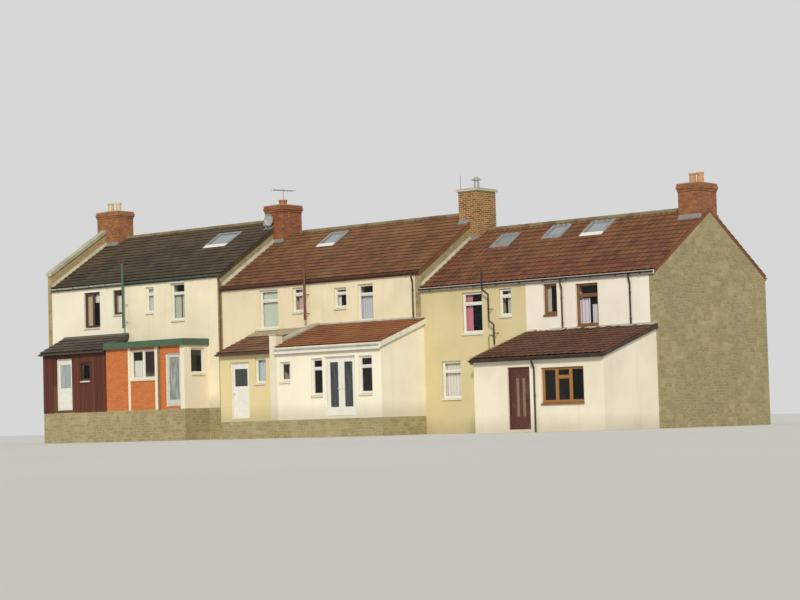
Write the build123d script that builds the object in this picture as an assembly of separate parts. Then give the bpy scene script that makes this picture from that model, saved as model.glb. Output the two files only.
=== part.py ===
"""A stepped row of six terraced houses, built as three level pairs, in millimetres.

X runs along the row from the upper pair to the lower one, Y runs into the houses from the front face of
their main walls, and Z is up from the lowest pair's ground. A wall's row of windows and doorways is
written from left to right, as plain wall and openings in turn: the openings keep their width and the
plain wall between them takes up any change in the wall's length.
"""

import math
import os
from collections import namedtuple

from build123d import *

os.makedirs("parts", exist_ok=True)

# The row: pair c is the upper one on the left, and a is the lower one on the right
PAIRS = "cba"
PAIR_LENGTH = 10000
SPLIT = {"c": 4580, "b": 4620, "a": 4680}
GROUND = {"c": 1225, "b": 650, "a": 0}
STEP_ABOVE_ROW = 677

# Main walls and floors
DEPTH = 7060
OUTER_WALL = 400
STEP_WALL = 250
PARTY_WALL = 200
FLOOR_TOP = 100
FLOOR_THICK = 100
STOREY = 2650
UPPER_FLOOR_THICK = 220
JOINT = 0.3
CUT = 5

# Main roofs
EAVE_OUT = 60
EAVE_TOP = 5231
RIDGE_TOP = 7463
RIDGE_Y = DEPTH / 2
ROOF_THICK = 150
VERGE = 40
ROOF_SLOPE = (RIDGE_TOP - EAVE_TOP) / (RIDGE_Y + EAVE_OUT)
RIDGE_RADIUS = 120
RIDGE_WALL = 22
FILLET = 150
BOARD = 20
EAVE_BOARD_HIGH = 130

# Windows
REVEAL = 70
FRAME_DEEP = 70
FRAME_BAR = 72
TOP_LIGHT_AT = 0.72
PANE_THICK = 6
PANE_LAP = 12
SILL_HIGH = 70
SILL_OUT = 50

# Doors and their hinges
INNER_DOOR_WIDE = 820
INNER_DOOR_HIGH = 2080
DOOR_REVEAL = 60
DOOR_POST = 55
DOOR_GAP = 8
LEAF_THICK = 45
LEAF_RAIL = 140
PANEL_SUNK = 8
LEVER_HIGH = 950
LEVER_IN = 45
LEVER_LONG = 118
LEVER_OUT = 36
LEVER_ROSE = 24
LEVER_NECK = 9
HINGE_HIGH = 96
HINGE_RADIUS = 7
HINGE_PIN = 3
HINGE_OUT = 8
HINGE_FLAP = 3
HINGE_REACH = 42
HINGE_FROM_END = 200

# Rooflights, from the ridge downwards in plan
ROOFLIGHT_RIM = 45
ROOFLIGHT_UP = 50
ROOFLIGHT_PANE_UP = 24

# Rainwater goods
GUTTER_RADIUS = 55
GUTTER_WALL = 4
GUTTER_DROP = 40
GUTTER_END = 20
PIPE_RADIUS = 34
VENT_RADIUS = 52
PIPE_STAND_OFF = 30
SWAN_NECK = 130
VENT_OVER_EAVE = 750
KITCHEN_VENT_OVER_EAVE = 500

# Front extensions
EXTENSION_WALL = 200
EXTENSION_ROOF = 110
EXTENSION_OUT = 120
EXTENSION_VERGE = 60
FASCIA_HIGH = {"c1": 110, "c2": 250, "b1": 100, "b2": 230, "a2": 110}
VERGE_BOARD_HIGH = {"c2": 250, "b2": 180, "a2": 110}
BOARD_UNDER_TILE = 10
HOOD_UP = 120
HOOD_OUT = 600
HOOD_SIDE = 180
HOOD_THICK = 60
HOOD_RISE = 200
PARAPET_WIDE = 350
PARAPET_PIER = 320
PARAPET_PIER_UP = 420
PARAPET_OVER_ROOF = 70
COPING_THICK = 50
COPING_OUT = 30

Window = namedtuple("Window", "wide at high style")
Doorway = namedtuple("Doorway", "wide top")
Opening = namedtuple("Opening", "x0 x1 z0 z1 face style")
Extension = namedtuple("Extension", "from_left from_right deep eave top sides")
Stack = namedtuple("Stack", "from_boundary wide deep over_ridge courses")
Leaf = namedtuple("Leaf", "house part hinged stile glazed")

# Upper windows: width, drop of the head under the wall's top, height and style
UPPER_ROWS = {
    "c1": [1990, Window(970, 183, 1450, "top light"), 790, Window(540, 183, 990, "casement"), 290],
    "c2": [1110, Window(470, 183, 1020, "casement"), 990, Window(770, 113, 1470, "casement"), 2080],
    "b1": [2010, Window(960, 128, 1480, "top light"), 760, Window(530, 128, 920, "casement"), 360],
    "b2": [1220, Window(600, 268, 750, "casement"), 550, Window(760, 208, 1355, "top light"), 2250],
    "a1": [1880, Window(900, 168, 1440, "top light"), 740, Window(540, 128, 950, "two lights"), 620],
    "a2": [750, Window(570, 88, 1040, "two lights"), 780, Window(910, 168, 1430, "top light"), 2310],
}
# The one ground storey without an extension: height of the window's sill over the ground
A1_ROW = [870, Window(870, 1250, STOREY - 1330, "top light"), 1060, Doorway(900, 2250), 980]

# Rear openings of every house, with the windows' sills by their height over the ground
REAR_GROUND_ROW = [700, Window(1000, 1000, 1150, "top light"), 1000, Doorway(900, 2150), 920]
REAR_UPPER_ROW = [750, Window(900, 3500, 1300, "top light"), 1200, Window(600, 3900, 900, "top light"), 1070]

# Extensions: distances in from the house's ends, depth, roof heights over the ground, built side walls
EXTENSIONS = {
    "c1": Extension(760, -100, 1200, 2525, 3075, "left"),
    "c2": Extension(120, 850, 1300, 2715, 2715, "left right"),
    "b1": Extension(1780, -130, 2000, 2610, 3360, "left"),
    "b2": Extension(130, -100, 2410, 2680, 3480, "right"),
    "a2": Extension(50, 40, 3100, 2500, 3420, "left right"),
}
EXTENSION_ROWS = {
    "c1": [800, Doorway(960, 2205), 540, Window(540, 1275, 700, "casement"), 1080],
    "c2": [1400, Window(1400, 1215, 1160, "mullion"), 570, Doorway(860, 2175), 220],
    "b1": [540, Doorway(960, 2210), 320, Window(560, 1400, 930, "casement"), 590],
    "b2": [
        150, Window(510, 1400, 710, "casement"), 1020, Window(550, 850, 1330, "top light"),
        90, Doorway(1470, 2210), 160, Window(630, 850, 1330, "top light"), 420,
    ],
    "a2": [1400, Doorway(900, 2140), 460, Window(1690, 940, 1140, "three lights"), 780],
}
SIDE_WINDOW = Window(760, 1355, 1000, "casement")

# Stacks on the boundaries: from the boundary, width, depth, height over the higher ridge, courses of the head
CORBELS = ((25, 80), (50, 100), (30, 80))
SLAB_CAP = ((70, 70),)
STACKS = {
    "end": Stack(-520, 1300, 900, 485, CORBELS),
    "upper": Stack(-420, 980, 1100, 572, CORBELS),
    "middle": Stack(-480, 860, 1150, 887, SLAB_CAP),
    "lower": Stack(-910, 860, 1100, 857, CORBELS),
}
STACK_FOOT = 900

# Doors that open: their doorway, which side is hinged, the leaf's stile, and where the glazing starts and ends
LEAVES = {
    "door_c1": Leaf("c1", "whole", "left", 90, (900, 1850)),
    "door_c2": Leaf("c2", "whole", "right", 90, (250, 1900)),
    "door_b1": Leaf("b1", "whole", "right", 90, (1200, 1850)),
    "door_b2_left": Leaf("b2", "left", "left", 140, (300, 1900)),
    "door_b2_right": Leaf("b2", "right", "right", 140, (300, 1900)),
    "door_a2": Leaf("a2", "whole", "left", 90, None),
}
ROOFLIGHTS = {
    "c": [(7170, 1060, 1440, 700)],
    "b": [(3060, 690, 1130, 420)],
    "a": [(1590, 600, 1170, 580), (3710, 600, 890, 320), (5400, 780, 960, 300)],
}


def block(x, y, z):
    """A box between pairs of bounds."""
    size = (x[1] - x[0], y[1] - y[0], z[1] - z[0])
    middle = ((x[0] + x[1]) / 2, (y[0] + y[1]) / 2, (z[0] + z[1]) / 2)
    return Pos(*middle) * Box(*size)


def profile(points, x0, x1):
    """A solid with an outline of (y, z) points that runs along the row."""
    outline = Polyline(*[(x0, y, z) for y, z in points], close=True)
    return extrude(make_face(outline), x1 - x0, dir=(1, 0, 0))


def rod(radius, length, sides=6, taper=0.0):
    """An upright bar with few sides, standing on the origin."""
    return extrude(RegularPolygon(radius, sides), length, taper=taper)


def tube(points, radius):
    """A pipe with few sides along straight stretches, mitred at its bends."""
    path = Polyline(*points)
    section = Plane(origin=path @ 0, z_dir=path % 0) * RegularPolygon(radius, 6)
    return sweep(section, path=path, transition=Transition.RIGHT)


def pieces(shape):
    """The separate solids of a shape or of a list of shapes."""
    shapes = shape if isinstance(shape, (list, tuple)) else [shape]
    return [solid for one in shapes for solid in one.solids()]


def pair_left(pair):
    """Where a pair starts along the row."""
    return PAIRS.index(pair) * PAIR_LENGTH


def house_ends(house):
    """Where a house starts and ends along the row."""
    pair, number = house
    left = pair_left(pair)
    middle = left + SPLIT[pair]
    return (left, middle) if number == "1" else (middle, left + PAIR_LENGTH)


def wall_span(house):
    """The stretch that a house's front wall fills, clear of the step wall and of its neighbour."""
    left, right = house_ends(house)
    if house[1] == "1":
        return left + JOINT, right - JOINT / 2
    return left + JOINT / 2, right - STEP_WALL - JOINT


def extension_span(house):
    """Where an extension starts and ends along the row."""
    left, right = house_ends(house)
    return left + EXTENSIONS[house].from_left, right - EXTENSIONS[house].from_right


def roof_top(y, ground):
    """Height of the main roof's upper face over a point in the depth of the house."""
    return ground + RIDGE_TOP - ROOF_SLOPE * abs(y - RIDGE_Y)


def wall_top(ground):
    """Height of the main front and rear walls' tops."""
    return roof_top(0, ground) - ROOF_THICK - JOINT


def lay_out(row, span):
    """Spread a row's openings over a wall: [(opening, left, right)]."""
    openings = row[1::2]
    plain = row[0::2]
    spare = (span[1] - span[0] - sum(o.wide for o in openings)) / sum(plain)
    placed = []
    at = span[0]
    for gap, opening in zip(plain, openings):
        at += gap * spare
        placed.append((opening, at, at + opening.wide))
        at += opening.wide
    return placed


def upper_windows(house):
    """The upper windows of a house's front."""
    top = wall_top(GROUND[house[0]])
    found = []
    for window, x0, x1 in lay_out(UPPER_ROWS[house], house_ends(house)):
        head = top - window.at
        found.append(Opening(x0, x1, head - window.high, head, 0, window.style))
    return found


def front_row(house):
    """A ground storey's front row with its span and face: the extension's, or the main wall's without one."""
    if house in EXTENSIONS:
        span = extension_span(house)
        if house == "b2":
            span = (span[0] + PARAPET_WIDE, span[1])
        return EXTENSION_ROWS[house], span, -EXTENSIONS[house].deep
    return A1_ROW, house_ends(house), 0


def ground_windows(house):
    """The front windows of a house's ground storey."""
    row, span, face = front_row(house)
    ground = GROUND[house[0]]
    placed = [p for p in lay_out(row, span) if isinstance(p[0], Window)]
    return [Opening(x0, x1, ground + w.at, ground + w.at + w.high, face, w.style) for w, x0, x1 in placed]


def doorway(house):
    """The front doorway of a house: (left, right), (floor, head) and the wall's face."""
    row, span, face = front_row(house)
    ground = GROUND[house[0]]
    door, x0, x1 = next(p for p in lay_out(row, span) if isinstance(p[0], Doorway))
    return (x0, x1), (ground + FLOOR_TOP, ground + door.top), face


def over_sill(hole):
    """A window's hole, made deeper by its sill: (left, right, foot, head)."""
    x0, x1, z0, z1 = hole
    return x0, x1, z0 - SILL_HIGH, z1


def window_hole(opening):
    """The hole that a window needs, with its sill below the frame."""
    return over_sill((opening.x0, opening.x1, opening.z0, opening.z1))


def wall_band(span, across, z, holes, along_y=False):
    """One storey of a wall: piers beside its holes, with a wall under and a head over each hole."""
    solids = []

    def add(run, height):
        bounds = (across, run) if along_y else (run, across)
        solids.append(block(*bounds, height))

    left = span[0]
    for x0, x1, z0, z1 in sorted(holes):
        add((left, x0), z)
        inner = (x0 + JOINT, x1 - JOINT)
        if z0 > z[0]:
            add(inner, (z[0], z0))
        if z1 < z[1]:
            add(inner, (z1, z[1]))
        left = x1
    add((left, span[1]), z)
    return solids


def front_wall(house):
    """The main front wall of one house, with a plain doorway behind its extension."""
    ground = GROUND[house[0]]
    x, z, _ = doorway(house)
    if house in EXTENSIONS:
        middle = (x[0] + x[1]) / 2
        low = [(middle - INNER_DOOR_WIDE / 2, middle + INNER_DOOR_WIDE / 2, z[0], ground + INNER_DOOR_HIGH)]
    else:
        low = [window_hole(w) for w in ground_windows(house)] + [(*x, *z)]
    high = [window_hole(w) for w in upper_windows(house)]
    span = wall_span(house)
    face = (0, OUTER_WALL)
    floor_line = ground + STOREY
    lower = wall_band(span, face, (0, floor_line - JOINT), low)
    return lower + wall_band(span, face, (floor_line, wall_top(ground)), high)


def rear_openings(house):
    """Rear openings of a house as (left, right, foot, head): windows of both storeys, and the fixed door."""
    ground = GROUND[house[0]]
    storeys = []
    for row in (REAR_GROUND_ROW, REAR_UPPER_ROW):
        placed = [p for p in lay_out(row, wall_span(house)) if isinstance(p[0], Window)]
        storeys.append([(x0, x1, ground + w.at, ground + w.at + w.high) for w, x0, x1 in placed])
    door, x0, x1 = next(p for p in lay_out(REAR_GROUND_ROW, wall_span(house)) if isinstance(p[0], Doorway))
    return *storeys, (x0, x1, ground + FLOOR_TOP, ground + door.top)


def rear_wall(pair):
    """The rear wall of a pair."""
    ground = GROUND[pair]
    low = []
    high = []
    for number in "12":
        windows, upper, door = rear_openings(pair + number)
        low += [*map(over_sill, windows), door]
        high += map(over_sill, upper)
    face = (DEPTH - OUTER_WALL, DEPTH)
    span = (wall_span(pair + "1")[0], wall_span(pair + "2")[1])
    floor_line = ground + STOREY
    lower = wall_band(span, face, (0, floor_line - JOINT), low)
    return lower + wall_band(span, face, (floor_line, wall_top(ground)), high)


def gable(x, y, ground):
    """A wall across the row, up to the underside of the roof of the pair it carries."""
    under = [(at, roof_top(at, ground) - ROOF_THICK - JOINT) for at in (y[0], RIDGE_Y, y[1])]
    return profile([(y[0], 0), *under, (y[1], 0)], *x)


def boundary(key):
    """Where a stack's wall has its face, and the ground level of the pair whose ridge it stands on."""
    order = list(STACKS).index(key)
    ground = GROUND["c"] + STEP_ABOVE_ROW if order == 0 else GROUND[PAIRS[order - 1]]
    return order * PAIR_LENGTH, ground


def stack_bounds(key):
    """Bounds of a stack's shaft, from its foot in the roof space to the top of its head."""
    stack = STACKS[key]
    at, ground = boundary(key)
    x = (at + stack.from_boundary, at + stack.from_boundary + stack.wide)
    y = (RIDGE_Y - stack.deep / 2, RIDGE_Y + stack.deep / 2)
    top = ground + RIDGE_TOP + stack.over_ridge
    order = list(STACKS).index(key)
    lower = GROUND[PAIRS[min(order, len(PAIRS) - 1)]]
    return x, y, (lower + RIDGE_TOP - STACK_FOOT, top)


def less_stacks(shape):
    """A shape with the pockets that the stacks stand in taken out."""
    for key in STACKS:
        bounds = [(low - JOINT, high + JOINT) for low, high in stack_bounds(key)]
        shape = shape - block(*bounds)
    return shape


def stack(key):
    """A chimney stack: its shaft and the projecting courses of its head, in one solid."""
    x, y, z = stack_bounds(key)
    whole = block(x, y, z)
    top = z[1]
    for out, high in reversed(STACKS[key].courses):
        course = block((x[0] - out, x[1] + out), (y[0] - out, y[1] + out), (top - high, top))
        whole = whole + course
        top -= high
    return whole


def step_walls():
    """The walls between pairs and at the ends, each up to the roof of the higher pair beside it."""
    walls = [gable((-STEP_WALL, 0), (0, DEPTH), GROUND["c"] + STEP_ABOVE_ROW)]
    for pair in PAIRS:
        right = pair_left(pair) + PAIR_LENGTH
        walls.append(gable((right - STEP_WALL, right), (0, DEPTH), GROUND[pair]))
    return [less_stacks(wall) for wall in walls]


def party_walls():
    """The walls between the two houses of each pair."""
    walls = []
    for pair in PAIRS:
        middle = pair_left(pair) + SPLIT[pair]
        x = (middle - PARTY_WALL / 2, middle + PARTY_WALL / 2)
        walls.append(gable(x, (OUTER_WALL + JOINT, DEPTH - OUTER_WALL - JOINT), GROUND[pair]))
    return walls


def room(house):
    """Inner bounds of a house in plan, one joint clear of its walls."""
    left, right = wall_span(house)
    start, end = house_ends(house)
    if house[1] == "1":
        right = end - PARTY_WALL / 2 - JOINT
    else:
        left = start + PARTY_WALL / 2 + JOINT
    return (left, right), (OUTER_WALL + JOINT, DEPTH - OUTER_WALL - JOINT)


def houses():
    """The houses' names from left to right."""
    return [pair + number for pair in PAIRS for number in "12"]


def floors(top, thick):
    """One slab in each house, with its upper face at a height over the pair's ground."""
    return [block(*room(h), (GROUND[h[0]] + top - thick, GROUND[h[0]] + top)) for h in houses()]


def roof_slope(x, ground, rear=False):
    """One slope of a main roof, from its eave to the ridge."""
    eave = DEPTH + EAVE_OUT if rear else -EAVE_OUT
    ridge = RIDGE_Y + JOINT / 2 if rear else RIDGE_Y - JOINT / 2
    upper = [(eave, roof_top(eave, ground)), (ridge, roof_top(ridge, ground))]
    under = [(y, z - ROOF_THICK) for y, z in reversed(upper)]
    return profile(upper + under, *x)


def rooflight_box(pair, light, inset, low, high):
    """A slanted box over a rooflight's hole, between two heights over the roof's upper face."""
    from_left, wide, near_ridge, far_ridge = light
    ground = GROUND[pair]
    near = RIDGE_Y - near_ridge + inset
    far = RIDGE_Y - far_ridge - inset
    corners = ((near, low), (far, low), (far, high), (near, high))
    x0 = pair_left(pair) + from_left
    return profile([(y, roof_top(y, ground) + up) for y, up in corners], x0 + inset, x0 + wide - inset)


def all_rooflights():
    """Every rooflight with its pair."""
    return [(pair, light) for pair, lights in ROOFLIGHTS.items() for light in lights]


def roof(pair):
    """Both slopes of a pair's roof, with its rooflights cut through."""
    left = pair_left(pair)
    right = left + PAIR_LENGTH + (VERGE if pair != PAIRS[-1] else 0)
    front = roof_slope((left + JOINT, right), GROUND[pair])
    for light in ROOFLIGHTS[pair]:
        front = front - rooflight_box(pair, light, 0, -2 * ROOF_THICK, ROOF_THICK)
    rear = roof_slope((left + JOINT, right), GROUND[pair], rear=True)
    return [less_stacks(front), less_stacks(rear)]


def rooflight_frames():
    """The rims of the rooflights."""
    rims = []
    for pair, light in all_rooflights():
        rim = rooflight_box(pair, light, JOINT, -ROOF_THICK, ROOFLIGHT_UP)
        rims.append(rim - rooflight_box(pair, light, ROOFLIGHT_RIM, -2 * ROOF_THICK, 2 * ROOFLIGHT_UP))
    return rims


def rooflight_panes():
    """The panes of the rooflights, held inside their rims."""
    inset = ROOFLIGHT_RIM + JOINT
    top = ROOFLIGHT_PANE_UP + PANE_THICK
    return [rooflight_box(pair, light, inset, ROOFLIGHT_PANE_UP, top) for pair, light in all_rooflights()]


def half_ring(radius, wall, centre, up, steps):
    """Outline of half a ring in (y, z), or of half a disc: a ridge tile's, or upside down a gutter's."""
    turns = [math.pi * n / steps for n in range(steps + 1)]
    way = 1 if up else -1
    outer = [(radius * math.cos(t), way * radius * math.sin(t)) for t in turns]
    inner = [((radius - wall) * math.cos(t), way * (radius - wall) * math.sin(t)) for t in reversed(turns)]
    ring = outer + inner if wall < radius else outer
    return [(centre[0] + y, centre[1] + z) for y, z in ring]


def ridge_tiles():
    """Half-round ridge capping over each roof."""
    caps = []
    rest = (RIDGE_RADIUS - RIDGE_WALL) * ROOF_SLOPE
    for pair in PAIRS:
        centre = (RIDGE_Y, GROUND[pair] + RIDGE_TOP - rest + JOINT)
        outline = half_ring(RIDGE_RADIUS, RIDGE_WALL, centre, up=True, steps=10)
        left = pair_left(pair)
        caps.append(less_stacks(profile(outline, left + JOINT, left + PAIR_LENGTH)))
    return caps


def cement_fillets():
    """Three-cornered cement fillets where each lower roof meets the step wall above it."""
    fillets = []
    for pair in PAIRS:
        x = pair_left(pair) + 2 * JOINT
        for way, start in ((1, -EAVE_OUT), (-1, DEPTH + EAVE_OUT)):
            z = roof_top(start, GROUND[pair]) + JOINT
            corner = Polyline((x, start, z), (x + FILLET, start, z), (x, start, z + FILLET), close=True)
            run = (RIDGE_Y + EAVE_OUT - 2 * JOINT) * math.hypot(1, ROOF_SLOPE)
            fillets.append(extrude(make_face(corner), run, dir=(0, way, ROOF_SLOPE)))
    trimmed = [less_stacks(fillet) for fillet in fillets]
    walls = [block((x, x + FILLET + 2), (-EAVE_OUT - 2, -JOINT), (0, 4 * STOREY)) for x in map(pair_left, PAIRS)]
    return [fillet - Compound(children=walls) for fillet in trimmed]


def frame(opening):
    """A window frame in its hole: outer bars, and the bars that its style has."""
    x = (opening.x0 + JOINT, opening.x1 - JOINT)
    y = (opening.face + REVEAL, opening.face + REVEAL + FRAME_DEEP)
    z = (opening.z0 + JOINT, opening.z1 - JOINT)
    light = [(low + FRAME_BAR, high - FRAME_BAR) for low, high in (x, z)]
    whole = block(x, y, z) - block(light[0], (y[0] - CUT, y[1] + CUT), light[1])
    transom_at = z[0] + TOP_LIGHT_AT * (z[1] - z[0])
    transom = (transom_at - FRAME_BAR / 2, transom_at + FRAME_BAR / 2)
    shares = {"two lights": (0.5,), "mullion": (0.5,), "three lights": (1 / 3, 2 / 3)}.get(opening.style, ())
    for share in shares:
        at = x[0] + share * (x[1] - x[0])
        whole = whole + block((at - FRAME_BAR / 2, at + FRAME_BAR / 2), y, z)
    if opening.style in ("top light", "mullion"):
        whole = whole + block(x, y, transom)
    if opening.style == "three lights":
        third = (x[1] - x[0]) / 3
        whole = whole + block((x[0] + third, x[1] - third), y, transom)
    return whole


def pane(opening):
    """A window's glass, against the back of its frame."""
    inset = FRAME_BAR - PANE_LAP
    back = opening.face + REVEAL + FRAME_DEEP + JOINT
    x = (opening.x0 + inset, opening.x1 - inset)
    return block(x, (back, back + PANE_THICK), (opening.z0 + inset, opening.z1 - inset))


def sill(opening):
    """A window's sill, under its frame and out past the wall, with a sloped top at its front."""
    front = opening.face - SILL_OUT
    back = opening.face + REVEAL + FRAME_DEEP
    low = opening.z0 - SILL_HIGH + JOINT
    top = opening.z0 - JOINT
    points = [(front, low), (front, top - SILL_HIGH / 4), (opening.face + REVEAL, top), (back, top), (back, low)]
    return profile(points, opening.x0 + JOINT, opening.x1 - JOINT)


def turned_to_rear(shape):
    """A window piece made for the front face at Y = 0, mirrored to the rear wall."""
    return Pos(0, DEPTH, 0) * mirror(shape, Plane.XZ)


def rear_windows(storey):
    """The rear windows of a storey, as if in the front face at Y = 0: 0 is the ground storey."""
    return [Opening(*hole, 0, "top light") for h in houses() for hole in rear_openings(h)[storey]]


def panes(front, storey):
    """Panes of a storey's front windows and its rear windows."""
    return [pane(w) for w in front] + [turned_to_rear(pane(w)) for w in rear_windows(storey)]


def side_frame():
    """The window frame in the right side wall of the upper pair's right extension, with its pane and sill."""
    window = side_window()
    turned = Pos(window.face, 0, 0) * Rot(0, 0, 90)
    flat = Opening(window.x0, window.x1, window.z0, window.z1, 0, window.style)
    return [turned * frame(flat), turned * pane(flat), turned * sill(flat)]


def side_window():
    """The side window's opening: x0 and x1 are places in the depth, and face is the wall's outer face."""
    middle = -(EXTENSIONS["c2"].deep - EXTENSION_WALL) / 2
    low = GROUND["c"] + SIDE_WINDOW.at
    half = SIDE_WINDOW.wide / 2
    face = extension_span("c2")[1]
    return Opening(middle - half, middle + half, low, low + SIDE_WINDOW.high, face, SIDE_WINDOW.style)


def extension_roof_top(house, y):
    """Height of an extension roof's upper face."""
    e = EXTENSIONS[house]
    return GROUND[house[0]] + e.top + (e.top - e.eave) * y / e.deep


def extension_walls(house):
    """Front wall and side walls of an extension."""
    e = EXTENSIONS[house]
    _, span, face = front_row(house)
    x, z, _ = doorway(house)
    holes = [window_hole(w) for w in ground_windows(house)] + [(*x, *z)]
    top = extension_roof_top(house, face) - EXTENSION_ROOF - JOINT
    solids = wall_band(span, (face, face + EXTENSION_WALL), (0, top), holes)
    inner = face + EXTENSION_WALL + JOINT
    under = [(y, extension_roof_top(house, y) - EXTENSION_ROOF - JOINT) for y in (inner, -JOINT)]
    if "left" in e.sides:
        solids.append(profile([(inner, 0), *under, (-JOINT, 0)], span[0], span[0] + EXTENSION_WALL))
    right = (span[1] - EXTENSION_WALL, span[1])
    if house == "c2":
        window = side_window()
        solids += wall_band((inner, -JOINT), right, (0, top), [window_hole(window)], along_y=True)
    elif "right" in e.sides:
        solids.append(profile([(inner, 0), *under, (-JOINT, 0)], *right))
    return solids


def roof_sides(house):
    """Where an extension's roof starts and ends along the row: with a verge where it has a side wall."""
    _, span, _ = front_row(house)
    left = span[0] - EXTENSION_VERGE if house in ("c1", "b1", "a2") else span[0] + JOINT
    right = span[1] + EXTENSION_VERGE if house in ("c2", "b2", "a2") else span[1] - JOINT
    return left, right


def extension_roof(house):
    """The roof slab of an extension, from the main wall to its eave."""
    eave = -EXTENSIONS[house].deep - EXTENSION_OUT
    upper = [(y, extension_roof_top(house, y)) for y in (eave, -JOINT)]
    under = [(y, z - EXTENSION_ROOF) for y, z in reversed(upper)]
    return profile(upper + under, *roof_sides(house))


def extension_floors():
    """A floor slab in each extension."""
    slabs = []
    for house, e in EXTENSIONS.items():
        ground = GROUND[house[0]]
        _, span, face = front_row(house)
        left = span[0] + (EXTENSION_WALL if "left" in e.sides else 0) + JOINT
        right = span[1] - (EXTENSION_WALL if "right" in e.sides else 0) - JOINT
        y = (face + EXTENSION_WALL + JOINT, -JOINT)
        slabs.append(block((left, right), y, (ground + FLOOR_TOP - FLOOR_THICK, ground + FLOOR_TOP)))
    return slabs


def parapet_bounds():
    """Bounds in plan of the parapet between the middle pair's extensions."""
    left = extension_span("b2")[0]
    return (left + JOINT, left + PARAPET_WIDE - JOINT), (-EXTENSIONS["b2"].deep, -JOINT)


def parapet():
    """The parapet: a wall that follows the roofs beside it, and an upright pier at its front."""
    x, y = parapet_bounds()
    low = extension_roof_top("b2", y[0])
    pier = block(x, (y[0], y[0] + PARAPET_PIER), (0, low + PARAPET_PIER_UP))
    near = y[0] + PARAPET_PIER + JOINT
    upper = [(at, extension_roof_top("b2", at) + PARAPET_OVER_ROOF) for at in (near, y[1])]
    return [pier, profile([(near, 0), *upper, (y[1], 0)], *x)]


def copings():
    """Copings of the end wall above the upper pair, of the parapet and of its pier."""
    ground = GROUND["c"] + STEP_ABOVE_ROW
    end = (-STEP_WALL - VERGE, VERGE)
    stones = [less_stacks(roof_slope(end, ground, rear)) for rear in (False, True)]
    x, y = parapet_bounds()
    wide = (x[0] - COPING_OUT, x[1] + COPING_OUT)
    near = y[0] + PARAPET_PIER + JOINT
    low = [(at, extension_roof_top("b2", at) + PARAPET_OVER_ROOF + JOINT) for at in (near, y[1])]
    high = [(at, z + COPING_THICK) for at, z in reversed(low)]
    stones.append(profile(low + high, *wide))
    top = extension_roof_top("b2", y[0]) + PARAPET_PIER_UP + JOINT
    cap = (y[0] - COPING_OUT, y[0] + PARAPET_PIER + COPING_OUT)
    stones.append(block(wide, cap, (top, top + COPING_THICK)))
    return stones


def eave_boards():
    """Boards on the main eaves, and the fascias and verge boards of the extensions."""
    boards = []
    for pair in PAIRS:
        x = (pair_left(pair) + JOINT, pair_left(pair) + PAIR_LENGTH - JOINT)
        top = GROUND[pair] + EAVE_TOP - BOARD_UNDER_TILE
        front = block(x, (-EAVE_OUT - JOINT - BOARD, -EAVE_OUT - JOINT), (top - EAVE_BOARD_HIGH, top))
        boards += [front, turned_to_rear(front)]
    for house, high in FASCIA_HIGH.items():
        front = -EXTENSIONS[house].deep - EXTENSION_OUT - JOINT
        top = extension_roof_top(house, front) - BOARD_UNDER_TILE
        boards.append(block(roof_sides(house), (front - BOARD, front), (top - high, top)))
    return boards + [verge_board(house, high) for house, high in VERGE_BOARD_HIGH.items()]


def verge_board(house, high):
    """A board along the right verge of an extension's roof."""
    x = roof_sides(house)[1] + JOINT
    eave = -EXTENSIONS[house].deep - EXTENSION_OUT
    upper = [(y, extension_roof_top(house, y) - BOARD_UNDER_TILE) for y in (eave, -JOINT)]
    under = [(y, z - high) for y, z in reversed(upper)]
    return profile(upper + under, x, x + BOARD)


def door_frame(house):
    """Posts and head of an extension's doorway."""
    x, z, face = doorway(house)
    y = (face + DOOR_REVEAL, face + DOOR_REVEAL + FRAME_DEEP)
    height = (z[0] + JOINT, z[1] - JOINT)
    posts = [block(run, y, height) for run in ((x[0] + JOINT, x[0] + DOOR_POST), (x[1] - DOOR_POST, x[1] - JOINT))]
    head = (x[0] + DOOR_POST + JOINT, x[1] - DOOR_POST - JOINT)
    return [*posts, block(head, y, (z[1] - DOOR_POST, z[1] - JOINT))]


def leaf_bounds(door):
    """Bounds of a door leaf in its doorway, one door gap clear all round."""
    x, z, face = doorway(door.house)
    middle = (x[0] + x[1]) / 2
    x0 = middle + DOOR_GAP / 2 if door.part == "right" else x[0] + DOOR_POST + DOOR_GAP
    x1 = middle - DOOR_GAP / 2 if door.part == "left" else x[1] - DOOR_POST - DOOR_GAP
    back = face + DOOR_REVEAL + FRAME_DEEP
    return (x0, x1), (back - LEAF_THICK, back), (z[0] + DOOR_GAP, z[1] - DOOR_POST - DOOR_GAP)


def lever(x, y, z, out, turn):
    """A lever handle on a door's face: a rose, a neck and a lever that points back over the leaf."""
    rose = Pos(x, y + out * JOINT, z) * Rot(-90 * out, 0, 0) * rod(LEVER_ROSE, LEVER_NECK)
    neck = Pos(x, y + out * LEVER_NECK / 2, z) * Rot(-90 * out, 0, 0) * rod(LEVER_NECK, LEVER_OUT)
    bar_x = x + turn * (LEVER_LONG / 2 - LEVER_NECK)
    bar = Pos(bar_x, y + out * (JOINT + LEVER_OUT), z) * Box(LEVER_LONG, 1.5 * LEVER_NECK, 2 * LEVER_NECK)
    return rose + neck + bar


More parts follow.
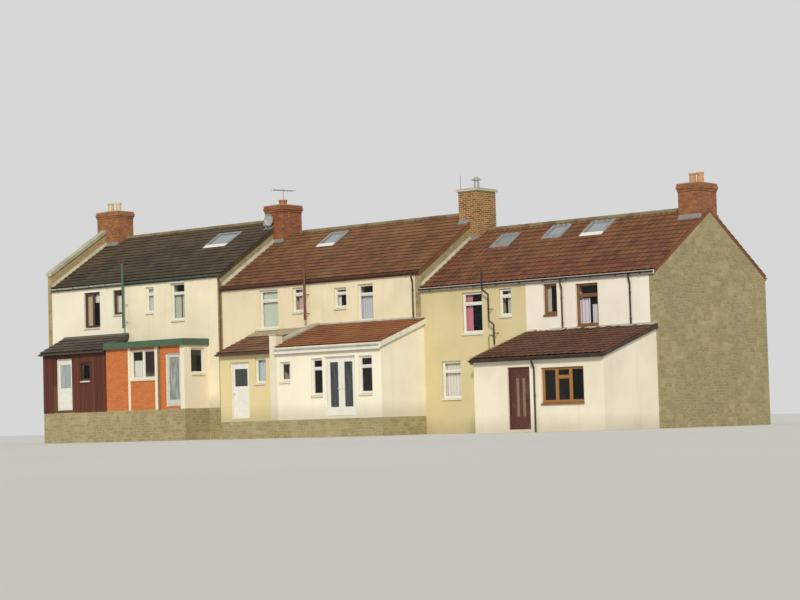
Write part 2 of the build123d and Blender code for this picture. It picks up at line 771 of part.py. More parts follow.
def hinge_half(pin, z, side, fixed):
    """Half of a butt hinge: a flap, its knuckles, and for the fixed half the pin.

    The leaf's half turns round the pin in the middle third, and side is 1 where the leaf lies to the right.
    """
    third = HINGE_HIGH / 3
    inner = pin[1] - HINGE_OUT + JOINT
    way = -side if fixed else side
    clear = HINGE_RADIUS + 2
    flap_x = sorted((pin[0] + way * clear, pin[0] + way * HINGE_REACH))
    arm_x = sorted((pin[0], pin[0] + way * clear))
    half = block(flap_x, (inner, inner + HINGE_FLAP), (z, z + HINGE_HIGH))
    for n in (0, 2) if fixed else (1,):
        ends = (z + n * third + JOINT / 2, z + (n + 1) * third - JOINT / 2)
        half = half + block(arm_x, (inner, inner + HINGE_FLAP), ends)
        half = half + Pos(*pin, ends[0]) * rod(HINGE_RADIUS, ends[1] - ends[0])
    if fixed:
        return half + Pos(*pin, z) * rod(HINGE_PIN, HINGE_HIGH)
    return half - Pos(*pin, z) * rod(HINGE_PIN + 3 * JOINT, HINGE_HIGH)


def hinges(door, fixed):
    """The fixed halves or the leaf's halves of a door's two hinges."""
    x, y, z = leaf_bounds(door)
    side = 1 if door.hinged == "left" else -1
    edge = x[0] if side == 1 else x[1]
    pin = (edge - side * DOOR_GAP / 2, y[1] + HINGE_OUT)
    heights = (z[0] + HINGE_FROM_END, z[1] - HINGE_FROM_END - HINGE_HIGH)
    return [hinge_half(pin, height, side, fixed) for height in heights]


def door_leaf(door):
    """A door leaf with its glazed or sunk panels, its levers and its halves of the hinges."""
    x, y, z = leaf_bounds(door)
    body = block(x, y, z)
    inner = (x[0] + door.stile, x[1] - door.stile)
    panels = [(z[0] + LEAF_RAIL, z[1] - LEAF_RAIL)]
    if door.glazed:
        glass = (z[0] + door.glazed[0], z[0] + door.glazed[1])
        middle = (y[0] + y[1]) / 2
        body = body - block(inner, (y[0] - CUT, y[1] + CUT), glass)
        body = body + block(inner, (middle - PANE_THICK / 2, middle + PANE_THICK / 2), glass)
        panels = [(z[0] + LEAF_RAIL, glass[0] - LEAF_RAIL)] if door.glazed[0] > 4 * LEAF_RAIL else []
    for low, high in panels:
        for face in ((y[0] - CUT, y[0] + PANEL_SUNK), (y[1] - PANEL_SUNK, y[1] + CUT)):
            body = body - block(inner, face, (low, high))
    out_x, turn = (x[1] - LEVER_IN, -1) if door.hinged == "left" else (x[0] + LEVER_IN, 1)
    levers = [lever(out_x, face, z[0] + LEVER_HIGH, out, turn) for face, out in ((y[0], -1), (y[1], 1))]
    return [body, *levers, *hinges(door, fixed=False)]


def fixed_door(x, z):
    """A plain panelled door that doesn't open, in a front wall with its face at Y = 0."""
    y = (REVEAL, REVEAL + LEAF_THICK)
    body = block((x[0] + JOINT, x[1] - JOINT), y, (z[0] + JOINT, z[1] - JOINT))
    panel = (x[0] + LEAF_RAIL, x[1] - LEAF_RAIL)
    lock_rail = z[0] + 0.45 * (z[1] - z[0])
    for low, high in ((z[0] + LEAF_RAIL, lock_rail), (lock_rail + LEAF_RAIL, z[1] - LEAF_RAIL)):
        for face in ((y[0] - CUT, y[0] + PANEL_SUNK), (y[1] - PANEL_SUNK, y[1] + CUT)):
            body = body - block(panel, face, (low, high))
    return body


def fixed_doors():
    """The rear doors, and the front door of the house without an extension."""
    x, z, _ = doorway("a1")
    holes = [rear_openings(h)[2] for h in houses()]
    return [fixed_door(x, z)] + [turned_to_rear(fixed_door(hole[:2], hole[2:])) for hole in holes]


def door_hood():
    """The small pitched hood over the front door of the house without an extension."""
    x, z, _ = doorway("a1")
    low = z[1] + HOOD_UP
    edge = low + HOOD_THICK
    points = [(-JOINT, low), (-HOOD_OUT, low), (-HOOD_OUT, edge), (-JOINT, edge + HOOD_RISE)]
    return profile(points, x[0] - HOOD_SIDE, x[1] + HOOD_SIDE)


def gutter(x0, x1, back, top):
    """A half-round gutter hung from a face in front of the row, with closed ends."""
    centre = (back - GUTTER_RADIUS - JOINT, top)
    channel = profile(half_ring(GUTTER_RADIUS, GUTTER_WALL, centre, up=False, steps=6), x0, x1)
    end = profile(half_ring(GUTTER_RADIUS, GUTTER_RADIUS, centre, up=False, steps=6), x0, x0 + CUT)
    return channel + end + Pos(x1 - x0 - CUT, 0, 0) * end


def gutters():
    """The gutters of the main eaves, front and rear, and of the extensions that have one."""
    runs = []
    back = -EAVE_OUT - JOINT - BOARD
    for pair in PAIRS:
        left = pair_left(pair)
        top = GROUND[pair] + EAVE_TOP - GUTTER_DROP
        run = gutter(left + GUTTER_END, left + PAIR_LENGTH - GUTTER_END, back, top)
        runs += [run, turned_to_rear(run)]
    for house in ("c1", "b1", "b2", "a2"):
        left, right = roof_sides(house)
        face = -EXTENSIONS[house].deep - EXTENSION_OUT - JOINT - BOARD
        runs.append(gutter(left + CUT, right - CUT, face, extension_roof_top(house, face) - GUTTER_DROP))
    return runs


def holder(x, y, z, radius, wall=0):
    """A pipe's collar with its bar to the wall behind."""
    collar = Pos(x, y, z - 30) * rod(radius + 7, 60)
    return collar + block((x - 12, x + 12), (y, wall - JOINT), (z - 12, z + 12))


def downpipe(x, pair, foot, holders=(0.12, 0.75)):
    """A downpipe from the gutter's outlet, back under the eave and down the main wall."""
    y = -PIPE_RADIUS - PIPE_STAND_OFF
    outlet_y = -EAVE_OUT - 2 * JOINT - BOARD - GUTTER_RADIUS
    outlet = GROUND[pair] + EAVE_TOP - GUTTER_DROP - GUTTER_RADIUS - JOINT
    bend = outlet - SWAN_NECK
    points = [(x, outlet_y, outlet), (x, outlet_y, bend), (x, y, bend - SWAN_NECK), (x, y, foot)]
    whole = tube(points, PIPE_RADIUS)
    for share in holders:
        whole = whole + holder(x, y, foot + share * (bend - SWAN_NECK - foot), PIPE_RADIUS)
    return whole


def extension_pipe(house, after, foot):
    """A downpipe on an extension's front, in the middle of the plain wall after its nth opening."""
    row, span, face = front_row(house)
    placed = lay_out(row, span)
    x = (placed[after - 1][2] + placed[after][1]) / 2
    y = face - PIPE_RADIUS - PIPE_STAND_OFF
    if EXTENSIONS[house].eave == EXTENSIONS[house].top:
        top = extension_roof_top(house, face) - EXTENSION_ROOF - JOINT
        points = [(x, y, top), (x, y, foot)]
    else:
        back = face - EXTENSION_OUT - JOINT - BOARD
        outlet_y = back - GUTTER_RADIUS - JOINT
        top = extension_roof_top(house, back) - GUTTER_DROP - GUTTER_RADIUS - JOINT
        points = [(x, outlet_y, top), (x, outlet_y, top - 80), (x, y, top - 260), (x, y, foot)]
    whole = tube(points, PIPE_RADIUS)
    return whole + holder(x, y, foot + (top - foot) / 2, PIPE_RADIUS, face)


def vent_pipe(points, radius, holders):
    """A soil vent pipe that stands clear of the gutter and rises past the eave, open at its top."""
    whole = tube(points, radius)
    for x, z in holders:
        whole = whole + holder(x, points[0][1], z, radius)
    return whole


def downpipes():
    """Downpipes of the main walls, front and rear, and the vent pipes that rise past the front eaves."""
    roof_over = {h: extension_roof_top(h, 0) + 2 * PIPE_RADIUS for h in EXTENSIONS}
    y_vent = -EAVE_OUT - BOARD - 2 * GUTTER_RADIUS - VENT_RADIUS - 12
    upper = house_ends("c2")[0] + 40
    middle = house_ends("b2")[0] - 40
    lower = house_ends("a1")[0] + 2980
    runs = [
        downpipe(pair_left("b") - 70, "c", 0),
        downpipe(pair_left("a") - 320, "b", roof_over["b2"]),
        downpipe(house_ends("a2")[0] + 1560, "a", roof_over["a2"]),
        downpipe(pair_left("a") + PAIR_LENGTH - 980, "a", roof_over["a2"]),
    ]
    for x, pair, foot in ((upper, "c", roof_over["c1"] + 200), (middle, "b", roof_over["b1"] + 300)):
        top = GROUND[pair] + EAVE_TOP + VENT_OVER_EAVE
        points = [(x, y_vent, top), (x, y_vent, foot)]
        runs.append(vent_pipe(points, VENT_RADIUS, [(x, foot + 250), (x, foot + 950)]))
    top = EAVE_TOP + KITCHEN_VENT_OVER_EAVE
    jog = [(lower, y_vent, top), (lower, y_vent, 5000), (lower + 260, y_vent, 4800), (lower + 260, y_vent, 3900)]
    jog += [(lower + 470, y_vent, 3740), (lower + 470, y_vent, STOREY + 400)]
    runs.append(vent_pipe(jog, PIPE_RADIUS, [(lower + 260, 4300), (lower + 470, STOREY + 800)]))
    runs.append(extension_pipe("a2", 1, GROUND["a"]))
    runs.append(extension_pipe("c2", 1, GROUND["c"]))
    for pair in PAIRS:
        x = pair_left(pair) + 400
        runs.append(turned_to_rear(downpipe(x, pair, 0)))
    return runs


def pot(wide, high):
    """A tapered clay pot with a rim and an open flue."""
    body = rod(wide * 0.55, high, sides=10, taper=2)
    rim = Pos(0, 0, high - 60) * rod(wide * 0.6, 60, sides=10)
    return body + rim - Pos(0, 0, high / 2) * rod(wide * 0.4, high, sides=10)


def chimney_pots():
    """The clay pots on the stacks: their places across each stack, width and height."""
    places = {
        "end": [(0.3, 250, 430), (0.68, 220, 420)],
        "upper": [(0.5, 300, 260)],
        "lower": [(0.32, 220, 400), (0.68, 220, 400)],
    }
    pots = []
    for key, spots in places.items():
        x, _, z = stack_bounds(key)
        for share, wide, high in spots:
            pots.append(Pos(x[0] + share * (x[1] - x[0]), RIDGE_Y, z[1] + JOINT) * pot(wide, high))
    return pots


def cowl():
    """The metal cowl on the middle stack: a pipe, four legs and a conical hat."""
    x, _, z = stack_bounds("middle")
    whole = rod(105, 300, sides=10) + Pos(0, 0, 380) * rod(200, 130, sides=10, taper=45)
    for turn in (0, 90, 180, 270):
        whole = whole + Rot(0, 0, turn) * Pos(82, 0, 335) * Box(12, 28, 120)
    return Pos((x[0] + x[1]) / 2, RIDGE_Y, z[1] + JOINT) * whole


def dish():
    """A satellite dish on a bracket, on the front face of the upper stack, with its receiver on an arm."""
    x, y, z = stack_bounds("upper")
    bowl = Pos(0, 0, 60) * Rot(180, 0, 0) * rod(250, 60, sides=12, taper=55)
    bowl = bowl - Pos(0, 0, 66) * Rot(180, 0, 0) * rod(244, 60, sides=12, taper=55)
    arm = Pos(0, 0, -100) * rod(22, 106, sides=6)
    foot = Pos(0, 0, -106) * Box(90, 140, 12)
    feed = tube([(0, -20, 3), (0, -235, 40), (0, -235, 290)], 14)
    head = Pos(0, -205, 300) * Box(60, 100, 60)
    whole = bowl + arm + foot + feed + head
    return Pos((x[0] + x[1]) / 2 - 150, y[0] - 112 - JOINT, z[1] - 560) * Rot(90, 0, 0) * whole


def all_nodes():
    """Every node's solids by name."""
    windows = {pair: [] for pair in PAIRS}
    for house in houses():
        windows[house[0]] += upper_windows(house) + ground_windows(house)
    upper = [w for h in houses() for w in upper_windows(h)]
    ground = [w for h in houses() for w in ground_windows(h)]
    side = side_frame()
    nodes = {f"front_wall_{house}": front_wall(house) for house in houses()}
    nodes |= {f"roof_{pair}": roof(pair) for pair in PAIRS}
    nodes |= {f"window_frames_{pair}": [frame(w) for w in windows[pair]] for pair in PAIRS}
    nodes |= {f"extension_walls_{house}": extension_walls(house) for house in EXTENSIONS}
    nodes |= {f"extension_roof_{house}": extension_roof(house) for house in EXTENSIONS}
    nodes |= {f"chimney_{key}": stack(key) for key in STACKS}
    nodes |= {name: door_leaf(door) for name, door in LEAVES.items()}
    nodes["window_frames_c"].append(side[0])
    nodes["rear_walls"] = [solid for pair in PAIRS for solid in rear_wall(pair)]
    nodes["step_walls"] = step_walls()
    nodes["party_walls"] = party_walls()
    nodes["ground_floors"] = floors(FLOOR_TOP, FLOOR_THICK) + extension_floors()
    nodes["upper_floors"] = floors(STOREY, UPPER_FLOOR_THICK)
    nodes["copings"] = copings()
    nodes["cement_fillets"] = cement_fillets()
    nodes["ridge_tiles"] = ridge_tiles()
    nodes["rooflight_frames"] = rooflight_frames()
    nodes["rooflight_panes"] = rooflight_panes()
    nodes["chimney_pots"] = chimney_pots()
    nodes["chimney_cowl"] = cowl()
    nodes["satellite_dish"] = dish()
    nodes["window_panes_upper"] = panes(upper, 1)
    nodes["window_panes_ground"] = panes(ground, 0) + [side[1]]
    nodes["window_sills"] = [sill(w) for w in upper + ground] + [side[2]]
    nodes["window_sills"] += [turned_to_rear(sill(w)) for n in (0, 1) for w in rear_windows(n)]
    nodes["rear_window_frames"] = [turned_to_rear(frame(w)) for n in (0, 1) for w in rear_windows(n)]
    nodes["fixed_doors"] = fixed_doors()
    nodes["door_hood"] = door_hood()
    nodes["extension_parapet"] = parapet()
    nodes["door_frames"] = [part for house in EXTENSIONS for part in door_frame(house)]
    nodes["door_hinges"] = [half for door in LEAVES.values() for half in hinges(door, fixed=True)]
    nodes["eave_boards"] = eave_boards()
    nodes["gutters"] = gutters()
    nodes["downpipes"] = downpipes()
    return nodes


def main():
    """Build every node and write it, with the origin under the middle of the whole row's bounds."""
    nodes = {name: pieces(shape) for name, shape in all_nodes().items()}
    boxes = [solid.bounding_box(optimal=False) for solids in nodes.values() for solid in solids]
    middle_x = (min(box.min.X for box in boxes) + max(box.max.X for box in boxes)) / 2
    middle_y = (min(box.min.Y for box in boxes) + max(box.max.Y for box in boxes)) / 2
    shift = Pos(-middle_x, -middle_y, 0)
    for name, solids in nodes.items():
        export_step(Compound(children=[shift * solid for solid in solids]), f"parts/{name}.step")


if __name__ == "__main__":
    main()
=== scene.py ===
"""Looks of a stepped row of six terraced houses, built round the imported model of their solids."""
import math

import bmesh
import bpy
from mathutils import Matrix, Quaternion, Vector


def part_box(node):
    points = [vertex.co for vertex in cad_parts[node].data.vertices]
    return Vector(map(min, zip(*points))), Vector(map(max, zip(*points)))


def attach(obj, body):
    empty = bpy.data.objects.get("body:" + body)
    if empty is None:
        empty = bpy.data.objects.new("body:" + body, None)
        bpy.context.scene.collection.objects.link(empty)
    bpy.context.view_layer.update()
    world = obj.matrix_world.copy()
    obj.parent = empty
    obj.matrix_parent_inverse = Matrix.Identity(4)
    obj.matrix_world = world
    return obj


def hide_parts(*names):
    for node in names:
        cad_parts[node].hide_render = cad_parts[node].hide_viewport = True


bl_info = {
    "name": "Terraced house row",
    "version": (1, 1, 0),
    "blender": (4, 5, 0),
    "location": "3D View > Sidebar > House row",
    "description": "Dresses the packed solids of a row of terraced houses with tiles, masonry, joinery and curtains",
    "category": "Object",
}

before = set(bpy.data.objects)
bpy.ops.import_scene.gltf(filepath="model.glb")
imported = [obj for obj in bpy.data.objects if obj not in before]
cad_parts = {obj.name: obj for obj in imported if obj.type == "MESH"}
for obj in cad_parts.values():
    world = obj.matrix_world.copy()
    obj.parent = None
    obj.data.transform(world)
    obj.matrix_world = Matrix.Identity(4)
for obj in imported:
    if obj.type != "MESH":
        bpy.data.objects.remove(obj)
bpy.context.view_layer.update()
BODY = "houses"
STACKS = ("end", "upper", "middle", "lower")

# The houses from left to right, each with its place in its pair and the paint of its main wall
HOUSES = {
    "c1": ("Upper left", "#F2EDD8"), "c2": ("Upper right", "#F3E9CC"), "b1": ("Middle left", "#EADCBD"),
    "b2": ("Middle right", "#F0E5C4"), "a1": ("Lower left", "#D6C89C"), "a2": ("Lower right", "#F0EBDD"),
}

# The pairs from left to right, their length, and where the two houses of each meet and its ground lies, in metres
PAIRS = "cba"
PAIR_LENGTH = 10.0
SPLIT = {"c": 4.58, "b": 4.62, "a": 4.68}
GROUND = {"c": 1.225, "b": 0.65, "a": 0.0}

# Where the row starts, where its main front face lies, and levels that the finishes change at
ROW_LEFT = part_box("roof_c")[0].x
MAIN_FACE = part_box("front_wall_a1")[0].y
BETWEEN_STOREYS, OVER_EXTENSIONS = 3.0, 4.6

# What lies further than this from the main face is in another wall, and what is narrower than this is left out
OTHER_WALL, SLIVER = 0.5, 0.05

# Bars of the windows, how far a sash stands back, and the share of a window's height that its transom is at
FRAME_BAR, SASH_BAR, MULLION, HALF_TRANSOM, SASH_BACK = 0.045, 0.038, 0.04, 0.022, 0.012
TRANSOM = 0.72

# Thickness of the main roofs and of the lean-to roofs, and how far sheet lead reaches past a rooflight's side
ROOF_THICK, LEAN_TO_THICK, LEAD_REACH = 0.15, 0.11, 0.13

# The turn and size of a laid piece that stays as it is, and what a mix of two colours is set to
UNTURNED, FULL_SIZE = (0.0, 0.0, 0.0), (1.0, 1.0, 1.0)
OF_COLOURS = {"out": 2, "data_type": "RGBA"}


def pair_left(pair):
    """Where a pair starts along the row."""
    return ROW_LEFT + PAIR_LENGTH * PAIRS.index(pair)


def middle_of(pair):
    """The boundary between the two houses of a pair."""
    return pair_left(pair) + SPLIT[pair]


# Nodes and sockets

def linear(colour):
    """An sRGB hex colour as linear red, green, blue and alpha."""
    channels = [int(colour[i:i + 2], 16) / 255 for i in (1, 3, 5)]
    return (*[c / 12.92 if c <= 0.04045 else ((c + 0.055) / 1.055) ** 2.4 for c in channels], 1.0)


def add(tree, kind, inputs=(), out=0, **settings):
    """Add a node with its settings, and set or link its inputs in order or by key: one output, or all for None."""
    node = tree.nodes.new(kind)
    for key, value in settings.items():
        setattr(node, key, value)
    for key, value in (inputs.items() if isinstance(inputs, dict) else enumerate(inputs)):
        if isinstance(value, bpy.types.NodeSocket):
            tree.links.new(value, node.inputs[key])
        else:
            hex_colour = isinstance(value, str) and value.startswith("#")
            node.inputs[key].default_value = linear(value) if hex_colour else value
    return node.outputs if out is None else node.outputs[out]


def patches(tree, place, size, low, high, most, fine=5.0):
    """A share, up to most, of cloudy patches about size metres across."""
    cloud = add(tree, "ShaderNodeTexNoise", {"Vector": place, "Scale": 1 / size, "Detail": fine, "Roughness": 0.6})
    return add(tree, "ShaderNodeMapRange", (cloud, low, high, 0.0, most))


def worn(tree, place, colour, second, size, low, high, most, fine=5.0, drawn=None):
    """A colour with a second one over it in cloudy patches, which may be drawn out by other scales."""
    if drawn:
        place = add(tree, "ShaderNodeMapping", {"Vector": place, "Scale": drawn})
    share = patches(tree, place, size, low, high, most, fine)
    return add(tree, "ShaderNodeMix", {0: share, 6: colour, 7: second}, **OF_COLOURS)


def split_at(tree, value, level, below, above):
    """One colour where a value is below a level, and another above it."""
    over = add(tree, "ShaderNodeMath", (value, level), operation="GREATER_THAN")
    return add(tree, "ShaderNodeMix", {0: over, 6: below, 7: above}, **OF_COLOURS)


def along_row(tree, x, stops):
    """A colour that changes at places along the row: [(place, colour)], the first one from the left end."""
    colour = stops[0][1]
    for place, following in stops[1:]:
        colour = split_at(tree, x, place, colour, following)
    return colour


def toned(tree, first, second):
    """A colour between two, by the tone that each laid piece was given."""
    tone = add(tree, "ShaderNodeAttribute", out="Fac", attribute_name="tone", attribute_type="GEOMETRY")
    return add(tree, "ShaderNodeMix", {0: tone, 6: first, 7: second}, **OF_COLOURS)


def new_material(name):
    """An empty material with its node tree, its place on the object and that place's parts."""
    material = bpy.data.materials.new(name)
    material.use_nodes = True
    tree = material.node_tree
    tree.nodes.clear()
    place = add(tree, "ShaderNodeTexCoord", out="Object")
    return material, tree, place, add(tree, "ShaderNodeSeparateXYZ", {0: place}, out=None)


def surface(material, colour, roughness, height=None, depth=0.01, **more):
    """Close a material with its shader, its bump and its other facts by the shader's own names."""
    tree = material.node_tree
    inputs = {"Base Color": colour, "Roughness": roughness, **more}
    if height is not None:
        inputs["Normal"] = add(tree, "ShaderNodeBump", {"Height": height, "Distance": depth, "Strength": 0.8})
    add(tree, "ShaderNodeOutputMaterial", {0: add(tree, "ShaderNodeBsdfPrincipled", inputs)}, out=None)
    return material


# Masonry

def courses(tree, parts, size, joint, smooth, colours, **settings):
    """Bricks or stones of one size in mortar, on faces along the row and across it: their colour and joints."""
    across = add(tree, "ShaderNodeMath", (parts[0], parts[1]), operation="ADD")
    flat = add(tree, "ShaderNodeCombineXYZ", (across, parts[2], 0.0))
    return add(tree, "ShaderNodeTexBrick", {
        "Vector": flat, "Scale": 1.0, "Mortar Size": joint, "Mortar Smooth": smooth, "Brick Width": size[0],
        "Row Height": size[1], "Color1": colours[0], "Color2": colours[1], "Mortar": colours[2],
    }, out=None, **settings)


def rubble_stone(tree, place):
    """Split sandstone in rough courses: stones of 330 by 150 mm, among patches of 230 by 105 mm, in pale mortar."""
    bend = add(tree, "ShaderNodeTexNoise", {"Vector": place, "Scale": 2.2, "Detail": 3.0}, out=1)
    off = add(tree, "ShaderNodeVectorMath", (bend, (0.5, 0.5, 0.5)), operation="SUBTRACT")
    small = add(tree, "ShaderNodeVectorMath", (off, (0.22, 0.22, 0.22)), operation="MULTIPLY")
    bent = add(tree, "ShaderNodeVectorMath", (place, small), operation="ADD")
    parts = add(tree, "ShaderNodeSeparateXYZ", {0: bent}, out=None)
    laid = [courses(tree, parts, size, 0.012, 0.6, (first, second, "#B4AA8A"), offset=0.42, squash=0.7,
                    squash_frequency=3)
            for size, first, second in (((0.33, 0.15), "#AEA07A", "#93885F"), ((0.23, 0.105), "#A5946A", "#8C8660"))]
    fewer = patches(tree, place, 1.3, 0.50, 0.53, 1.0, 2.0)
    stone = add(tree, "ShaderNodeMix", {0: fewer, 6: laid[0][0], 7: laid[1][0]}, **OF_COLOURS)
    mortar = add(tree, "ShaderNodeMix", {0: fewer, 2: laid[0][1], 3: laid[1][1]}, data_type="FLOAT")
    colour = worn(tree, place, stone, "#7D7450", 0.55, 0.48, 0.78, 0.5)
    colour = worn(tree, place, colour, "#C4B58B", 0.09, 0.55, 0.75, 0.45)
    grain = add(tree, "ShaderNodeTexNoise", {"Vector": place, "Scale": 14.0, "Detail": 4.0})
    return colour, add(tree, "ShaderNodeMath", (grain, mortar), operation="SUBTRACT")


def bricks(tree, parts, place, first, second, mortar, soot=0.5):
    """Fired bricks of 225 by 75 mm with their joints, sooty in patches: their colour and height."""
    laid = courses(tree, parts, (0.225, 0.075), 0.008, 0.2, (first, second, mortar))
    colour = worn(tree, place, laid[0], "#4A3528", 0.42, 0.52, 0.8, soot)
    colour = worn(tree, place, colour, "#D0A86C", 0.11, 0.60, 0.72, 0.4, 2.0)
    return colour, add(tree, "ShaderNodeMath", (1.0, laid[1]), operation="SUBTRACT")


def painted_render(name, paint, ground, amount=1.0):
    """Sand and cement render, floated and painted: matt, softly uneven, streaked, with stone under its ground line."""
    material, tree, place, parts = new_material(name)
    dirt = "#97896A"
    colour = worn(tree, place, paint, dirt, 1.4, 0.42, 0.74, 0.20 * amount, 6.0)
    colour = worn(tree, place, colour, dirt, 1.0, 0.56, 0.85, 0.20 * amount, drawn=(3.0, 3.0, 0.25))
    splash = add(tree, "ShaderNodeMapRange", (parts[2], ground + 0.6, ground + 0.1, 0.0, 0.35))
    colour = add(tree, "ShaderNodeMix", {0: splash, 6: colour, 7: "#8A8468"}, **OF_COLOURS)
    stone, stone_height = rubble_stone(tree, place)
    floated = add(tree, "ShaderNodeTexNoise", {"Vector": place, "Scale": 45.0, "Detail": 2.0})
    height = split_at(tree, parts[2], ground, stone_height, floated)
    return surface(material, split_at(tree, parts[2], ground, stone, colour), 0.9, height, 0.006)


def stone_gables():
    """Party walls that rise over the roofs: yellow brick at the left end, then rubble sandstone with lichen."""
    material, tree, place, parts = new_material("rubble_sandstone")
    stone, stone_height = rubble_stone(tree, place)
    brick, brick_height = bricks(tree, parts, place, "#B9A06A", "#A58B58", "#B8AD90", 0.3)
    brick_ends = ROW_LEFT + 1.0
    colour = split_at(tree, parts[0], brick_ends, brick, stone)
    colour = worn(tree, place, colour, "#8A8456", 0.9, 0.5, 0.8, 0.4)
    height = split_at(tree, parts[0], brick_ends, brick_height, stone_height)
    return surface(material, colour, 0.95, height, 0.012)


def brickwork(name, first, second, mortar, soot=0.5, crown=None):
    """Stock bricks fired unevenly, worn and sooty, laid by hand, with a pale cement crown over a level."""
    material, tree, place, parts = new_material(name)
    colour, height = bricks(tree, parts, place, first, second, mortar, soot)
    colour = worn(tree, place, colour, "#3B2C22", 0.7, 0.55, 0.95, soot)
    if crown is not None:
        colour = split_at(tree, parts[2], crown, colour, "#C6BFA6")
    return surface(material, colour, 0.93, height)


def porch_brick():
    """Brickwork painted orange, with pale posts beside its window and at its corner, and stone at its foot."""
    material, tree, place, parts = new_material("orange_painted_brick")
    colour, height = bricks(tree, parts, place, "#D07C3E", "#C66F36", "#B9683A", 0.12)
    window = extension_window(1)
    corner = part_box("extension_walls_c2")[1].x
    bands = ((window[0].x - 0.13, window[0].x), (window[1].x, window[1].x + 0.15), (corner - 0.24, corner + 0.1))
    for left, right in bands:
        beyond = split_at(tree, parts[0], right, "#F0E6D0", colour)
        colour = split_at(tree, parts[0], left, colour, beyond)
    stone, _ = rubble_stone(tree, place)
    return surface(material, split_at(tree, parts[2], GROUND["c"], stone, colour), 0.8, height, 0.005)


def sawn_grain(tree, place):
    """The grain of sawn softwood, drawn 35 mm wide to show, and the drawn-out place that it is read at."""
    drawn = add(tree, "ShaderNodeMapping", {"Vector": place, "Scale": (30.0, 30.0, 1.2)})
    return add(tree, "ShaderNodeTexNoise", {"Vector": drawn, "Scale": 1.0, "Detail": 4.0}), drawn


def boarded_wall():
    """Stained softwood behind the boards, dark red above brown, with stone at its foot."""
    material, tree, place, parts = new_material("stained_softwood_wall")
    grain, _ = sawn_grain(tree, place)
    red = add(tree, "ShaderNodeMix", {0: grain, 6: "#5F2C1F", 7: "#3F1D16"}, **OF_COLOURS)
    brown = add(tree, "ShaderNodeMix", {0: grain, 6: "#6E4A30", 7: "#4C3322"}, **OF_COLOURS)
    colour = split_at(tree, parts[2], GROUND["c"] + 1.1, brown, red)
    stone, _ = rubble_stone(tree, place)
    return surface(material, split_at(tree, parts[2], GROUND["c"], stone, colour), 0.75, grain, 0.003)


# Roofs and joinery

def roof_tiles(name, body, second, lichen, growth, moss_from, moss_to):
    """Sanded clay or concrete tiles: each one of its own tone, with lichen in patches that grows towards the ridge."""
    material, tree, place, parts = new_material(name)
    cloud = add(tree, "ShaderNodeTexNoise", {"Vector": place, "Scale": 1.1, "Detail": 7.0, "Roughness": 0.65})
    high_up = add(tree, "ShaderNodeMapRange", (parts[2], moss_from, moss_to, 0.0, 0.16))
    grown = add(tree, "ShaderNodeMath", (cloud, high_up), operation="ADD")
    share = add(tree, "ShaderNodeMapRange", (grown, 0.5, 0.68, 0.0, growth))
    colour = add(tree, "ShaderNodeMix", {0: share, 6: toned(tree, body, second), 7: lichen}, **OF_COLOURS)
    colour = worn(tree, place, colour, lichen, 0.07, 0.62, 0.72, 0.25, 3.0)
    colour = worn(tree, place, colour, "#33271F", 1.0, 0.5, 0.8, 0.4, 3.0, drawn=(3.0, 0.5, 0.5))
    sand = add(tree, "ShaderNodeTexNoise", {"Vector": place, "Scale": 60.0, "Detail": 2.0})
    return surface(material, colour, 0.86, sand, 0.004)


def stained_boards():
    """Sawn softwood boards with a worn red stain, each board of its own tone."""
    material, tree, place, _ = new_material("stained_sawn_softwood")
    grain, drawn = sawn_grain(tree, place)
    colour = worn(tree, drawn, toned(tree, "#66301F", "#4A2118"), "#7E5236", 1.0, 0.5, 0.8, 0.45)
    return surface(material, colour, 0.78, grain, 0.002)


def weathered(material, place, colour, spots, roughness, size, share, depth=0.002, **more):
    """Close a finish with cloudy wear in a second colour, and a bump nine times finer."""
    tree = material.node_tree
    shade = worn(tree, place, colour, spots, size, 0.45, 0.75, share, 6.0)
    grit = add(tree, "ShaderNodeTexNoise", {"Vector": place, "Scale": 9 / size, "Detail": 4.0})
    return surface(material, shade, roughness, grit, depth, **more)


def plain_finish(name, colour, spots, roughness, size=0.16, share=0.35, depth=0.002, **more):
    """One weathered surface: its two colours, and the size and share of its patches."""
    material, _, place, _ = new_material(name)
    return weathered(material, place, colour, spots, roughness, size, share, depth, **more)


def row_finish(name, upper, lower, spots, roughness, size=0.2, share=0.3, level=OVER_EXTENSIONS):
    """Paint that changes from house to house: its colours along the row over a level and under it."""
    material, tree, place, parts = new_material(name)
    colour = split_at(tree, parts[2], level, along_row(tree, parts[0], lower), along_row(tree, parts[0], upper))
    return weathered(material, place, colour, spots, roughness, size, share)


def window_glass():
    """Float glass: see-through, dark over an unlit room, with a sharp reflection and slight dust."""
    material, tree, place, _ = new_material("float_glass")
    colour = worn(tree, place, "#39444A", "#7E8788", 0.5, 0.5, 0.9, 0.3)
    return surface(material, colour, 0.04, Alpha=0.1, IOR=1.5)


